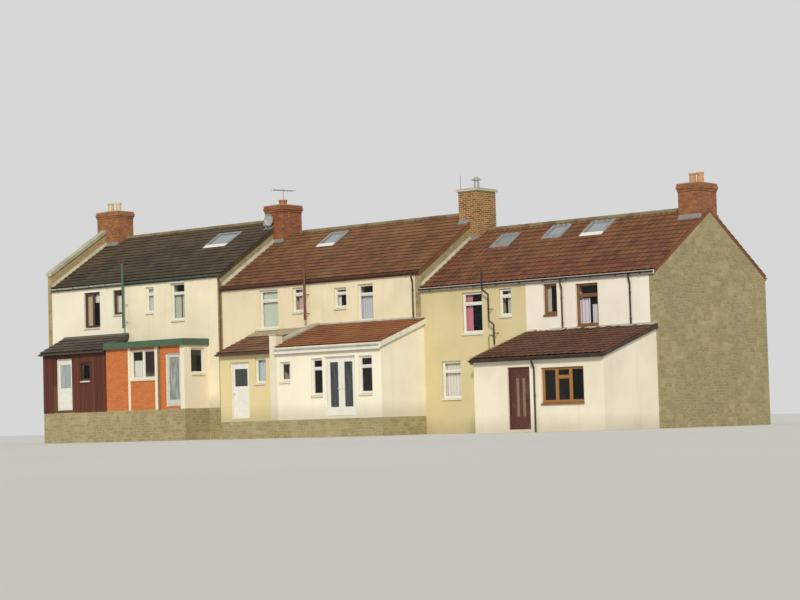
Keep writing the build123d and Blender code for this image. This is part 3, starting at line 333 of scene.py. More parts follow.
def glazed_door(name, middle_y, paint, glass, netted):
    """A painted leaf with a thin glazed panel in the middle of its thickness, and a net behind that panel; the panel's
    glass colour is painted shade of the unlit room behind it.
    """
    material, tree, place, parts = new_material(name)
    normal = add(tree, "ShaderNodeTexCoord", out="Normal")
    facing = add(tree, "ShaderNodeSeparateXYZ", {0: normal}, out=1)
    sideways = add(tree, "ShaderNodeMath", {0: facing}, operation="ABSOLUTE")
    flat = add(tree, "ShaderNodeMath", (sideways, 0.5), operation="GREATER_THAN")
    thin = add(tree, "ShaderNodeMath", (parts[1], middle_y, 0.006), operation="COMPARE")
    pane = add(tree, "ShaderNodeMath", (flat, thin), operation="MULTIPLY")
    # The panel's colour is painted shade of the unlit room seen through the glass, with the net over it in patches.
    shaded_pane = worn(tree, place, glass, "#C6CAC4", 1.0, 0.35, 0.7, netted, 3.0, drawn=(14.0, 14.0, 1.5))
    body = worn(tree, place, paint, "#8B8778", 0.25, 0.5, 0.8, 0.2)
    colour = add(tree, "ShaderNodeMix", {0: pane, 6: body, 7: shaded_pane}, **OF_COLOURS)
    rough = add(tree, "ShaderNodeMapRange", {0: pane, 3: 0.42, 4: 0.08})
    brushed = add(tree, "ShaderNodeTexNoise", {"Vector": place, "Scale": 30.0, "Detail": 4.0})
    return surface(material, colour, rough, brushed, 0.0005)


def cloth(name, colour, second, thread=0.012):
    """Woven curtain cotton, its threads drawn 12 mm apart so that the weave shows at this distance."""
    material, tree, place, _ = new_material(name)
    bands = [add(tree, "ShaderNodeTexWave", {"Vector": place, "Scale": 0.16 / thread, "Distortion": 1.5}, out=1,
                 bands_direction=way) for way in ("X", "Z")]
    weave = add(tree, "ShaderNodeMath", bands, operation="MULTIPLY")
    share = add(tree, "ShaderNodeMath", (weave, 0.5), operation="MULTIPLY")
    shade = add(tree, "ShaderNodeMix", {0: share, 6: colour, 7: second}, **OF_COLOURS)
    return surface(material, shade, 0.95, weave, 0.001, **{"Sheen Weight": 0.3})


# Meshes

def linked(name, data):
    """A new object of the scene that holds a mesh, curve, camera or lamp."""
    made = bpy.data.objects.new(name, data)
    bpy.context.scene.collection.objects.link(made)
    return made


def plain_mesh(helper):
    """The mesh that a helper object's modifiers or bevel give; the helper goes."""
    depsgraph = bpy.context.evaluated_depsgraph_get()
    made = bpy.data.meshes.new_from_object(
        helper.evaluated_get(depsgraph), preserve_all_data_layers=True, depsgraph=depsgraph)
    bpy.data.objects.remove(helper)
    return made


def link_piece(name, mesh, material, slot, body=BODY, stands_for=()):
    """Put a finished mesh in the scene as a piece that rides on a body."""
    piece = linked(name, mesh)
    mesh.materials.clear()
    mesh.materials.append(material)
    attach(piece, body)
    if stands_for:
        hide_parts(*stands_for)
    return piece


def loft(bm, *outlines):
    """A closed solid through outlines with as many points each."""
    rings = [[bm.verts.new(point) for point in outline] for outline in outlines]
    bm.faces.new(rings[0])
    bm.faces.new(rings[-1][::-1])
    for near, far in zip(rings, rings[1:]):
        for i in range(len(near)):
            j = (i + 1) % len(near)
            bm.faces.new((near[j], near[i], far[i], far[j]))


def prism(bm, outline, x0, x1):
    """A closed solid with an outline of (y, z) points that runs along the row."""
    loft(bm, [(x0, y, z) for y, z in outline], [(x1, y, z) for y, z in outline])


def box_into(bm, x, y, z):
    """A closed box between pairs of bounds, with a small chamfer along its upper front edge."""
    cut = min(0.004, (y[1] - y[0]) / 4, (z[1] - z[0]) / 4)
    outline = [(y[0], z[0]), (y[1], z[0]), (y[1], z[1]), (y[0] + cut, z[1]), (y[0], z[1] - cut)]
    prism(bm, outline, *x)


def mesh_from(name, build):
    """A mesh that a function fills, with its faces turned outwards."""
    bm = bmesh.new()
    build(bm)
    bmesh.ops.recalc_face_normals(bm, faces=bm.faces)
    mesh = bpy.data.meshes.new(name)
    bm.to_mesh(mesh)
    bm.free()
    return mesh


def islands(node):
    """Lowest and highest corner of each separate solid of a CAD node, from left to right."""
    bm = bmesh.new()
    bm.from_mesh(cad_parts[node].data)
    bmesh.ops.remove_doubles(bm, verts=bm.verts, dist=1e-5)
    seen = set()
    found = []
    for start in bm.verts:
        if start in seen:
            continue
        group = [start]
        seen.add(start)
        for vert in group:
            for edge in vert.link_edges:
                other = edge.other_vert(vert)
                if other not in seen:
                    seen.add(other)
                    group.append(other)
        low = Vector([min(v.co[i] for v in group) for i in range(3)])
        high = Vector([max(v.co[i] for v in group) for i in range(3)])
        found.append((low, high))
    bm.free()
    return sorted(found, key=lambda pair: pair[0].x)


def extension_window(order):
    """Bounds of one window in the upper pair's extensions, counted from the left."""
    return [box for box in islands("window_frames_c") if box[0].y < MAIN_FACE - OTHER_WALL][order]


# Pieces laid by geometry nodes

def laying_tree():
    """A node tree that lays a piece on each point, with the point's own turn and size, and gives each a tone."""
    tree = bpy.data.node_groups.new("laid_pieces", "GeometryNodeTree")
    sockets = (
        ("Points", "NodeSocketGeometry", None), ("Piece", "NodeSocketObject", None),
        ("Unevenness", "NodeSocketFloat", 0.01), ("Seed", "NodeSocketInt", 7),
        ("Finish", "NodeSocketMaterial", None),
    )
    for name, kind, default in sockets:
        socket = tree.interface.new_socket(name, in_out="INPUT", socket_type=kind)
        if default is not None:
            socket.default_value = default
    tree.interface.new_socket("Pieces", in_out="OUTPUT", socket_type="NodeSocketGeometry")
    given = add(tree, "NodeGroupInput", out=None)
    piece = add(tree, "GeometryNodeObjectInfo", {"Object": given["Piece"]}, out="Geometry")
    turn, size = (add(tree, "GeometryNodeInputNamedAttribute", {"Name": name}, data_type="FLOAT_VECTOR")
                  for name in ("turn", "size"))
    most = add(tree, "ShaderNodeVectorMath", (given["Unevenness"], (1.0, 1.0, 1.0)), operation="MULTIPLY")
    least = add(tree, "ShaderNodeVectorMath", (most, (-1.0, -1.0, -1.0)), operation="MULTIPLY")
    shift = add(tree, "FunctionNodeRandomValue", {0: least, 1: most, "Seed": given["Seed"]},
                data_type="FLOAT_VECTOR")
    whole = add(tree, "ShaderNodeVectorMath", (turn, shift), operation="ADD")
    euler = add(tree, "FunctionNodeEulerToRotation", {0: whole})
    laid = add(tree, "GeometryNodeInstanceOnPoints",
               {"Points": given["Points"], "Instance": piece, "Rotation": euler, "Scale": size})
    tone = add(tree, "FunctionNodeRandomValue", {"Seed": given["Seed"]}, out=1, data_type="FLOAT")
    kept = add(tree, "GeometryNodeStoreNamedAttribute", {"Geometry": laid, "Name": "tone", "Value": tone},
               data_type="FLOAT", domain="INSTANCE")
    real = add(tree, "GeometryNodeRealizeInstances", {0: kept})
    dressed = add(tree, "GeometryNodeSetMaterial", {"Geometry": real, "Material": given["Finish"]})
    add(tree, "NodeGroupOutput", {0: dressed}, out=None)
    return tree


def lay(name, pattern, points, material, seed, unevenness=0.006, **piece_facts):
    """Lay a pattern mesh on points of (place, turn, size) and make the result one plain piece."""
    tree = bpy.data.node_groups.get("laid_pieces") or laying_tree()
    mesh = bpy.data.meshes.new(name + "_points")
    mesh.from_pydata([p[0] for p in points], [], [])
    for index, key in enumerate(("turn", "size"), start=1):
        attribute = mesh.attributes.new(key, "FLOAT_VECTOR", "POINT")
        attribute.data.foreach_set("vector", [value for p in points for value in p[index]])
    one, holder = linked(name + "_one", pattern), linked(name + "_holder", mesh)
    modifier = holder.modifiers.new("laying", "NODES")
    modifier.node_group = tree
    named = {item.name: item.identifier for item in tree.interface.items_tree if item.in_out == "INPUT"}
    for key, value in (("Piece", one), ("Unevenness", unevenness), ("Seed", seed), ("Finish", material)):
        modifier[named[key]] = value
    made = plain_mesh(holder)
    if not made.polygons:
        raise RuntimeError(f"no pieces were laid for {name}")
    made.name = name
    bpy.data.objects.remove(one)
    bpy.data.meshes.remove(mesh)
    bpy.data.meshes.remove(pattern)
    link_piece(name, made, material, **piece_facts)


def tile_mesh(pitch, gauge, rolled):
    """One roof tile: across it runs a roll or a slight camber, and its lower end rides on the course below."""
    thick, bed, lift, head_lap, side_lap = 0.015, 0.004, 0.026, 0.05, 1.03
    roll, camber = 0.022, 0.007
    steps = 8 if rolled else 4

    def height(share, y):
        if rolled:
            crown = roll * (0.5 - 0.5 * math.cos(2 * math.pi * share))
        else:
            crown = camber * math.sin(math.pi * share)
        return crown + bed + lift * (1 - y / gauge)

    def outline(y):
        upper = [((n / steps - 0.5) * pitch * side_lap, y, height(n / steps, y) + thick) for n in range(steps + 1)]
        return upper + [(x, y, z - thick) for x, y, z in reversed(upper)]
    return mesh_from("tile", lambda bm: loft(bm, outline(-0.01), outline(gauge + head_lap)))


def slope_points(x, eave, ridge, pitch, gauge, holes):
    """Places for the tiles of one slope, from (y, z) at its eave to (y, z) at its ridge."""
    way = 1 if ridge[0] > eave[0] else -1
    run = math.hypot(ridge[0] - eave[0], ridge[1] - eave[1])
    angle = math.atan2(ridge[1] - eave[1], abs(ridge[0] - eave[0]))
    columns = max(1, round((x[1] - x[0]) / pitch))
    rows = max(1, round(run / gauge))
    wide, tall = (x[1] - x[0]) / columns, run / rows
    reach = 0.45 * wide
    turn = (angle, 0.0, 0.0 if way == 1 else math.pi)
    points = []
    for row in range(rows):
        y = eave[0] + way * row * tall * math.cos(angle)
        z = eave[1] + row * tall * math.sin(angle)
        centre = y + way * 0.5 * tall * math.cos(angle)
        for column in range(columns):
            across = x[0] + (column + 0.5) * wide
            if not any(a - reach < across < b + reach and c < centre < d for a, b, c, d in holes):
                points.append(((across, y, z), turn, (wide / pitch, tall / gauge, 1.0)))
    return points


def lay_tiles(name, slopes, rolled, finish, sizes, seed, slot, holes=()):
    """Tile a roof with pantiles or flat tiles, on slopes of (sides, eave, ridge)."""
    pitch, gauge = (sizes.pantile_pitch, sizes.pantile_gauge) if rolled else (sizes.flat_pitch, sizes.flat_gauge)
    points = [point for slope in slopes for point in slope_points(*slope, pitch, gauge, holes)]
    lay(name, tile_mesh(pitch, gauge, rolled), points, finish, seed, slot=slot)


def roof_facts(node):
    """Bounds of a main roof: its sides, both eaves and its ridge, as (y, z) of the upper face."""
    low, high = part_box(node)
    eave_z = low.z + ROOF_THICK
    return (low.x, high.x), (low.y, eave_z), (high.y, eave_z), ((low.y + high.y) / 2, high.z)


def roof_under(x):
    """The facts of the main roof that a place along the row lies on."""
    return next(facts for facts in map(roof_facts, ("roof_a", "roof_b", "roof_c")) if facts[0][0] < x < facts[0][1])


def on_slope(ridge, y, up):
    """A point (y, z) at a height over the upper face of a main roof."""
    _, front, _, top = roof_facts("roof_a")
    slope = (top[1] - front[1]) / (top[0] - front[0])
    return (y, ridge[1] - slope * abs(y - ridge[0]) + up)


def roof_holes():
    """Rooflights and stacks that the tiles leave free, as (left, right, front, rear)."""
    holes = [(low.x, high.x, low.y - 0.06, high.y + 0.1) for low, high in islands("rooflight_frames")]
    for low, high in map(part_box, ("chimney_" + key for key in STACKS)):
        holes.append((low.x + 0.1, high.x - 0.1, low.y + 0.1, high.y - 0.1))
    return holes


# Joinery, curtains and thin tubes

def bar_into(bm, to, u, v, w, cut=0.006):
    """A closed bar between bounds across, inwards and upwards, with chamfered front edges."""
    def ring(inset, depth):
        return [to(a, depth, c) for a, c in (
            (u[0] + inset, w[0] + inset), (u[1] - inset, w[0] + inset),
            (u[1] - inset, w[1] - inset), (u[0] + inset, w[1] - inset))]
    loft(bm, ring(cut, v[0]), ring(0.0, v[0] + cut), ring(0.0, v[1]))


def window_into(bm, low, high, columns, transom, only=None):
    """One window: its outer frame, the lights side by side with a sash in each, and the transom's share of height."""
    sideways = high.y - low.y > high.x - low.x
    wide, deep = (high.y - low.y, high.x - low.x) if sideways else (high.x - low.x, high.y - low.y)

    def to(u, v, w):
        return (high.x - v, low.y + u, w) if sideways else (low.x + u, low.y + v, w)

    def four_bars(u, v, w, bar):
        for z0, z1 in ((w[0], w[0] + bar), (w[1] - bar, w[1])):
            bar_into(bm, to, u, v, (z0, z1))
        for u0, u1 in ((u[0], u[0] + bar), (u[1] - bar, u[1])):
            bar_into(bm, to, (u0, u1), v, (w[0] + bar, w[1] - bar))
    four_bars((0.0, wide), (0.0, deep), (low.z, high.z), FRAME_BAR)
    light = (wide - 2 * FRAME_BAR - MULLION * (columns - 1)) / columns
    foot, head = low.z + FRAME_BAR, high.z - FRAME_BAR
    below, above = (low.z + transom * (high.z - low.z) + half for half in (-HALF_TRANSOM, HALF_TRANSOM))
    for column in range(columns):
        u = FRAME_BAR + column * (light + MULLION)
        if column:
            bar_into(bm, to, (u - MULLION, u), (0.0, deep), (foot, head))
        tiers = [(foot, head)]
        if transom and only in (None, column):
            bar_into(bm, to, (u, u + light), (0.0, deep), (below, above))
            tiers = [(foot, below), (above, head)]
        for tier in tiers:
            four_bars((u, u + light), (SASH_BACK, deep - SASH_BACK), tier, SASH_BAR)


def drape_mesh(x0, x1, z0, z1, y, folds, deep):
    """A hung sheet with even folds: its mesh, and the width that it was cut to."""
    steps, cloth_thickness = max(2, folds * 8), 0.0015
    line = [(x0 + (x1 - x0) * n / steps, y + deep * math.sin(2 * math.pi * folds * n / steps))
            for n in range(steps + 1)]
    width = sum(math.dist(a, b) for a, b in zip(line, line[1:]))

    def build(bm):
        rows = [[bm.verts.new((px, py, z)) for px, py in line] for z in (z0, (z0 + z1) / 2, z1)]
        for lower, upper in zip(rows, rows[1:]):
            for n in range(steps):
                bm.faces.new((lower[n], lower[n + 1], upper[n + 1], upper[n]))
        bm.normal_update()
        bmesh.ops.solidify(bm, geom=bm.faces[:], thickness=cloth_thickness)
    return mesh_from("drape", build), width


def hang(name, box, part, drop, folds, deep, material):
    """Hang a curtain or blind behind a window: part is the share of its width, drop the share from its head down."""
    low, high = box
    past, behind = 0.02, 0.036
    wide, tall = high.x - low.x + 2 * past, high.z - low.z + 2 * past
    x0, x1 = (low.x - past + share * wide for share in part)
    z1, z0 = (high.z + past - share * tall for share in drop)
    mesh, width = drape_mesh(x0, x1, z0, z1, high.y + behind + deep, folds, deep)
    piece = link_piece(name, mesh, material, slot="sill_stone")


def tubes(name, lines, radius, material):
    """Closed round tubes along lines of points, as one piece."""
    curve = bpy.data.curves.new(name, "CURVE")
    curve.dimensions = "3D"
    curve.bevel_depth = radius
    curve.bevel_resolution = 1
    curve.use_fill_caps = True
    for line in lines:
        spline = curve.splines.new("POLY")
        spline.points.add(len(line) - 1)
        for point, place in zip(spline.points, line):
            point.co = (*place, 1)
    link_piece(name, plain_mesh(linked(name + "_helper", curve)), material, slot="grey_metal")


# What a user would change

class TileSettings(bpy.types.PropertyGroup):
    """Sizes of the roof covering."""
    pantile_pitch: bpy.props.FloatProperty(
        name="Pantile width", description="Width that one pantile covers", default=0.24, unit="LENGTH")
    pantile_gauge: bpy.props.FloatProperty(
        name="Pantile gauge", description="Height of one course of pantiles", default=0.30, unit="LENGTH")
    flat_pitch: bpy.props.FloatProperty(
        name="Flat tile width", description="Width that one flat tile covers", default=0.30, unit="LENGTH")
    flat_gauge: bpy.props.FloatProperty(
        name="Flat tile gauge", description="Height of one course of flat tiles", default=0.27, unit="LENGTH")
    ridge_length: bpy.props.FloatProperty(
        name="Ridge tile length", description="Length of one ridge tile", default=0.45, unit="LENGTH")
    seed: bpy.props.IntProperty(name="Seed", description="Seed of the tiles' tones and unevenness", default=7)


class PaintSettings(bpy.types.PropertyGroup):
    """Colours of the painted main walls."""
    __annotations__ = {
        house: bpy.props.FloatVectorProperty(
            name=place, description=f"Paint of the {place.lower()} house", subtype="COLOR", size=4, min=0.0, max=1.0,
            default=linear(paint))
        for house, (place, paint) in HOUSES.items()
    }


def coat(node, material):
    """Give a CAD node its material."""
    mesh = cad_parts[node].data
    mesh.materials.clear()
    mesh.materials.append(material)


class HOUSES_OT_walls(bpy.types.Operator):
    """Finish the masonry walls, floors and copings"""
    bl_idname = "houses.walls"
    bl_label = "Walls"

    def execute(self, context):
        paint = context.scene.house_paint
        for house in HOUSES:
            dirt = 0.6 if house in ("c1", "a2") else 1.0
            coat("front_wall_" + house, painted_render(
                "painted_render_" + house, tuple(getattr(paint, house)), GROUND[house[0]], dirt))
        coat("rear_walls", painted_render("painted_render_rear", "#D6CCAC", 0.0))
        coat("step_walls", stone_gables())
        coat("party_walls", plain_finish("plastered_masonry", "#C9C2B0", "#9C937E", 0.9, 0.6))
        coat("ground_floors", plain_finish("screed_concrete", "#8F8B82", "#6D6A62", 0.85, 0.5))
        coat("upper_floors", plain_finish("boarded_pine", "#9A7748", "#6E5230", 0.6, 0.33))
        cement = plain_finish("trowelled_cement", "#B9B49F", "#7E7A60", 0.92, 0.6, 0.8, 0.006)
        coat("copings", cement)
        coat("cement_fillets", cement)
        return {"FINISHED"}


class HOUSES_OT_roofs(bpy.types.Operator):
    """Lay the tiles, ridge tiles and flashings of the main roofs"""
    bl_idname = "houses.roofs"
    bl_label = "Main roofs"

    def execute(self, context):
        sizes = context.scene.house_tiles
        finishes = {
            "a": roof_tiles("weathered_clay_pantiles", "#77442B", "#563122", "#8A6238", 0.45, 5.0, 7.4),
            "b": roof_tiles("weathered_clay_tiles", "#80502F", "#644026", "#8F7040", 0.35, 6.5, 8.2),
            "c": roof_tiles("weathered_concrete_tiles", "#423628", "#352D22", "#69593A", 0.4, 6.6, 8.8),
        }
        holes = roof_holes()
        for pair, finish in finishes.items():
            x, front, rear, ridge = roof_facts("roof_" + pair)
            lay_tiles("roof_tiles_" + pair, [(x, front, ridge), (x, rear, ridge)], pair == "a", finish, sizes,
                      sizes.seed + ord(pair), "tiles_" + pair, holes)
            coat("roof_" + pair, finish)
        self.ridges(sizes)
        self.flashings()
        self.aprons()
        coat("rooflight_frames", plain_finish("powder_coated_aluminium", "#7E827F", "#5B5E5C", 0.45, 0.12))
        return {"FINISHED"}

    def ridges(self, sizes):
        """Half-round ridge tiles bedded in mortar, each narrower at its far end, with a gap between each two."""
        length, steps, bed = sizes.ridge_length, 8, 0.02
        near, far, hollow = 0.128, 0.122, 0.84

        def half_ring(x, radius):
            turns = [math.pi * n / steps for n in range(steps + 1)]
            outline = [(radius * math.cos(turn), radius * math.sin(turn)) for turn in turns]
            outline += [(y * hollow, z * hollow) for y, z in reversed(outline)]
            return [(x, y, z) for y, z in outline]
        stacks = [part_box("chimney_" + key) for key in STACKS]
        points = []
        for order, pair in enumerate(PAIRS):
            x, _, _, ridge = roof_facts("roof_" + pair)
            left, right = max(x[0], stacks[order][1].x), min(x[1], stacks[order + 1][0].x)
            count = int((right - left) / length)
            for n in range(count):
                at = left + (right - left - count * length) / 2 + n * length
                points.append(((at, ridge[0], ridge[1] - bed), UNTURNED, FULL_SIZE))
        finish = roof_tiles("ridge_clay_with_lichen", "#6E4A32", "#574130", "#8B8360", 0.75, 5.0, 6.0)
        pattern = mesh_from("ridge", lambda bm: loft(bm, half_ring(0.0, near), half_ring(length * 0.97, far)))
        lay("ridge_tiles_laid", pattern, points, finish, sizes.seed, 0.004,
            slot="tiles_b", stands_for=["ridge_tiles"])

    def flashings(self):
        """Sheet lead round the rooflights and the feet of the stacks."""
        lead = plain_finish("dressed_sheet_lead", "#8C8F8E", "#5F6261", 0.55, 0.2, 0.6)
        clear = 0.001

        def sheet(bm, ridge, y, foot, top, x):
            outline = ((y[0], foot), (y[1], foot), (y[1], top), (y[0], top))
            prism(bm, [on_slope(ridge, *point) for point in outline], *x)

        def round_light(bm, low, high):
            ridge = roof_under((low.x + high.x) / 2)[3]
            left, right = low.x - LEAD_REACH, high.x + LEAD_REACH
            for sides in ((left, low.x - clear), (high.x + clear, right)):
                sheet(bm, ridge, (low.y, high.y), 0.02, 0.07, sides)
            for ends, top in (((low.y - 0.16, low.y - clear), 0.055), ((high.y + clear, high.y + 0.1), 0.07)):
                sheet(bm, ridge, ends, 0.03, top, (left, right))

        def round_stack(bm, order, key):
            low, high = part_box("chimney_" + key)
            crown = 0.07 if key == "middle" else 0.05
            boundary = ROW_LEFT + PAIR_LENGTH * order
            ridge_y, deep = (low.y + high.y) / 2, (high.y - low.y) / 2 - crown
            ridges = [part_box("copings")[1].z] + [roof_facts("roof_" + pair)[3][1] for pair in PAIRS]
            parts = [(low.x + crown, boundary, ridges[order])]
            if order < len(PAIRS):
                parts.append((boundary, high.x - crown, ridges[order + 1]))
            for x0, x1, ridge_z in parts:
                if x1 - x0 < SLIVER:
                    continue
                z = on_slope((ridge_y, ridge_z), ridge_y + deep, 0.0)[1]
                for way in (-1, 1):
                    face = ridge_y + way * (deep + clear)
                    prism(bm, [(face + way * y, z + up) for y, up in (
                        (0.0, 0.14), (0.0, -0.02), (0.13, -0.05), (0.14, -0.025), (0.012, 0.05), (0.012, 0.14))],
                        x0, x1)

        def build(bm):
            for low, high in islands("rooflight_frames"):
                round_light(bm, low, high)
            for order, key in enumerate(STACKS):
                round_stack(bm, order, key)
        link_piece("lead_flashings", mesh_from("lead_flashings", build), lead, slot="grey_metal")

    def aprons(self):
        """White painted aprons under the larger rooflights, dressed over the lead and the tiles."""
        lights = islands("rooflight_frames")

        def build(bm):
            for low, high in (lights[0], lights[1], lights[-1]):
                ridge = roof_under((low.x + high.x) / 2)[3]
                foot, head = low.y - 0.20, low.y - 0.03
                outline = ((foot, 0.056), (head, 0.06), (head, 0.082), (foot, 0.076))
                prism(bm, [on_slope(ridge, *point) for point in outline], low.x - 0.06, high.x + 0.1)
        paint = plain_finish("white_painted_lead", "#E6E6DF", "#B4B3A8", 0.6, 0.25, 0.3)
        link_piece("rooflight_aprons", mesh_from("rooflight_aprons", build), paint, slot="sill_stone")


class HOUSES_OT_chimneys(bpy.types.Operator):
    """Finish the stacks, pots, cowl, dish and aerials"""
    bl_idname = "houses.chimneys"
    bl_label = "Chimneys"

    def execute(self, context):
        coat("chimney_end", brickwork("orange_stock_brick", "#B27040", "#905634", "#8C7A60"))
        coat("chimney_upper", brickwork("red_stock_brick", "#A8603A", "#82482C", "#77664F"))
        coat("chimney_middle", brickwork("mottled_stock_brick", "#AE763F", "#704424", "#D2C29A", 0.45,
                                         crown=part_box("chimney_middle")[1].z - 0.11))
        coat("chimney_lower", brickwork("orange_red_stock_brick", "#A86640", "#884C2E", "#85745C"))
        pots = [(0, "#D6C394"), (pair_left("b") - 1.5, "#BC6C3E"), (pair_left("a") - 1.5, "#C99A6C")]
        coat("chimney_pots", row_finish("fired_clay_pots", pots, pots, "#7D5E42", 0.8, 0.11, 0.5))
        coat("chimney_cowl", plain_finish("galvanised_sheet", "#B4B8B8", "#84898A", 0.45, 0.11, 0.5, Metallic=0.4))
        coat("satellite_dish", plain_finish("grey_coated_steel", "#A9ABAA", "#7C7F7E", 0.5, 0.11))
        self.flaunching()
        self.aerials()
        return {"FINISHED"}

    def flaunching(self):
        """Mortar that slopes away from the pots on each stack's top."""
        margin = 0.02

        def build(bm):
            for low, high in (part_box("chimney_" + key) for key in STACKS):
                middle = (low + high) / 2
                rings = []
                for shrink, up in ((1.0, 0.001), (1.0, 0.02), (0.55, 0.07)):
                    wide, deep = ((high[i] - low[i] - 2 * margin) / 2 * shrink for i in (0, 1))
                    rings.append([(middle.x + u * wide, middle.y + v * deep, high.z + up)
                                  for u, v in ((-1, -1), (1, -1), (1, 1), (-1, 1))])
                loft(bm, *rings)
        mortar = plain_finish("weathered_mortar", "#A9A189", "#6F6A57", 0.95, 0.2, 0.8, 0.006)
        link_piece("stack_flaunching", mesh_from("flaunching", build), mortar, slot="sill_stone")

    def aerials(self):
        """A television aerial on the upper stack, a mast with a boom and short rods, and a pole on the middle one."""
        metal = plain_finish("weathered_aluminium_tube", "#8E9192", "#5C5F60", 0.45, 0.08, 0.5, Metallic=0.7)
        low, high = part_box("chimney_upper")
        x, y, top = high.x - 0.14, low.y + 0.2, high.z + 0.64
        boom = top - 0.06
        lines = [[(x, y, high.z - 0.48), (x, y, top)], [(x - 0.1, y - 0.45, boom), (x + 0.1, y + 0.45, boom)]]
        rods = 7
        for n in range(rods):
            along = n / (rods - 1) - 0.5
            cx, cy = x + 0.2 * along, y + 0.9 * along
            lines.append([(cx - 0.17, cy + 0.04, top - 0.05), (cx + 0.17, cy - 0.04, top - 0.05)])
        low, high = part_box("chimney_middle")
        lines.append([(low.x + 0.16, low.y + 0.12, high.z + up) for up in (-0.4, 0.55)])
        tubes("roof_aerials", lines, 0.011, metal)


class HOUSES_OT_windows(bpy.types.Operator):
    """Build the windows' joinery and hang their curtains and blinds"""
    bl_idname = "houses.windows"
    bl_label = "Windows"

    def execute(self, context):
        glass = window_glass()
        for node in ("window_panes_upper", "window_panes_ground"):
            coat(node, glass)
        # The rooflight panes are opaque pale blue-grey: dust on the glass together with a painted reflection of the
        # sky.
        coat("rooflight_panes", plain_finish("dusty_rooflight_glass", "#8B949B", "#697178", 0.12, 0.4))
        white = "#E6E5DC"
        coat("rear_window_frames", plain_finish("rear_white_joinery", white, "#A5A194", 0.4, 0.2, 0.3))
        sills = [(0, "#D9D4C2"), (middle_of("c"), "#E6DCC0"), (pair_left("b"), "#E2D8BC"),
                 (pair_left("a"), "#E6E1CF")]
        upper, lower = (sills + [(middle_of("a"), brown)] for brown in ("#7A4C2E", "#8A5C34"))
        coat("window_sills", row_finish("painted_sills", upper, lower, "#8B8570", 0.75, 0.25, 0.4,
                                        level=BETWEEN_STOREYS))
        self.joinery(white)
        self.curtains()
        head = plain_finish("painted_lead_head", "#D8D6CC", "#9A988E", 0.6, 0.2)
        upper_heads = 6.2
        low, high = [box for box in islands("window_frames_c") if box[1].z > upper_heads][-1]
        link_piece("window_head_c2", mesh_from("window_head", lambda bm: box_into(
            bm, (low.x - 0.03, high.x + 0.03), (MAIN_FACE - 0.05, MAIN_FACE - 0.0005),
            (high.z - 0.005, high.z + 0.055))), head, slot="sill_stone")
        return {"FINISHED"}

    def joinery(self, white):
        """Frames and sashes by pair: lights side by side, height of the transom, and the one light that has it."""
        plain, crossed = (1, 0), (1, TRANSOM)
        kinds = {
            "c": [(2, 0), plain, plain, crossed, (2, 0), crossed, plain],
            "b": [crossed, plain, crossed, plain, crossed, crossed, crossed, crossed],
            "a": [crossed, crossed, crossed, plain, crossed, (3, TRANSOM, 1)],
        }
        stops = {"c": [(0, "#4A3528"), (middle_of("c"), white)], "b": [(0, white)],
                 "a": [(0, white), (middle_of("a"), "#84552F")]}
        for pair, lights in kinds.items():
            node = "window_frames_" + pair
            boxes = islands(node)
            if len(boxes) != len(lights):
                raise RuntimeError(f"{node} has {len(boxes)} frames and not {len(lights)}")
            lower = stops[pair][:-1] + [(middle_of("a"), "#A5733A")] if pair == "a" else stops[pair]
            paint = row_finish(
                "gloss_painted_joinery_" + pair, stops[pair], lower, "#9A968A", 0.4, 0.2, 0.15, level=BETWEEN_STOREYS)

            def build(bm):
                for box, light in zip(boxes, lights):
                    window_into(bm, *box, *light)
            link_piece("window_joinery_" + pair, mesh_from("window_joinery", build), paint,
                       slot="white_joinery", stands_for=[node])

    def curtains(self):
        """Curtains, nets and blinds as the windows show them, from left to right: (cloth, across, drop, folds)."""
        cloths = {
            "net": ("cotton_net", "#F4F2E8", "#D6D4C8"), "beige": ("beige_cotton", "#D8C4A0", "#AE9A78"),
            "pink": ("pink_cotton", "#DF8C9A", "#B8687A"), "green": ("pale_green_blind", "#E4F0DC", "#C4D2BA"),
            "lilac": ("lilac_white_cotton", "#EDE7F2", "#C8C2D2"), "sage": ("sage_cotton", "#CED4BE", "#A6AE94"),
            "rose": ("rose_cotton", "#DDB9B2", "#B08C86"), "blue": ("blue_grey_net", "#D4DEE4", "#AAB6BE"),
        }
        finishes = {kind: cloth(*facts) for kind, facts in cloths.items()}
        whole = (0, 1)
        upper = [
            [("beige", (0, 0.4), whole, 3), ("net", (0.52, 1), (0, 0.28), 3)], [("net", (0.2, 1), (0.2, 1), 3)],
            [("lilac", whole, whole, 0)], [("sage", (0, 0.52), (0.28, 1), 4), ("sage", (0.6, 1), (0.28, 1), 3)],
            [("green", whole, (0.04, 1), 0)], [("rose", (0.3, 0.75), whole, 2)],
            [("net", (0, 0.3), (0.35, 1), 2)], [("blue", whole, (0.28, 1), 6)],
            [("pink", (0, 0.36), whole, 3)], [("sage", (0.45, 0.95), whole, 2)],
            [("sage", (0, 0.35), whole, 2)], [("lilac", (0, 0.5), (0.33, 1), 3), ("lilac", (0.62, 0.9), (0.5, 1), 2)],
        ]
        ground = [
            [], [("net", (0, 0.48), (0.35, 1), 5)], [("blue", whole, whole, 4)], [("rose", (0.55, 1), whole, 2)],
            [], [], [("net", whole, whole, 6)], [],
        ]
        fold_depth, blind_depth = 0.016, 0.003
        for storey, hung in (("upper", upper), ("ground", ground)):
            node = "window_panes_" + storey
            front = [b for b in islands(node) if b[1].y < MAIN_FACE + OTHER_WALL and b[1].x - b[0].x > SLIVER]
            if len(front) != len(hung):
                raise RuntimeError(f"{node} has {len(front)} front panes and not {len(hung)}")
            for number, (box, pieces) in enumerate(zip(front, hung)):
                for side, (kind, part, drop, folds) in enumerate(pieces):
                    hang(f"curtain_{storey}_{number + 1}_{side + 1}", box, part, drop, max(folds, 1),
                         fold_depth if folds else blind_depth, finishes[kind])


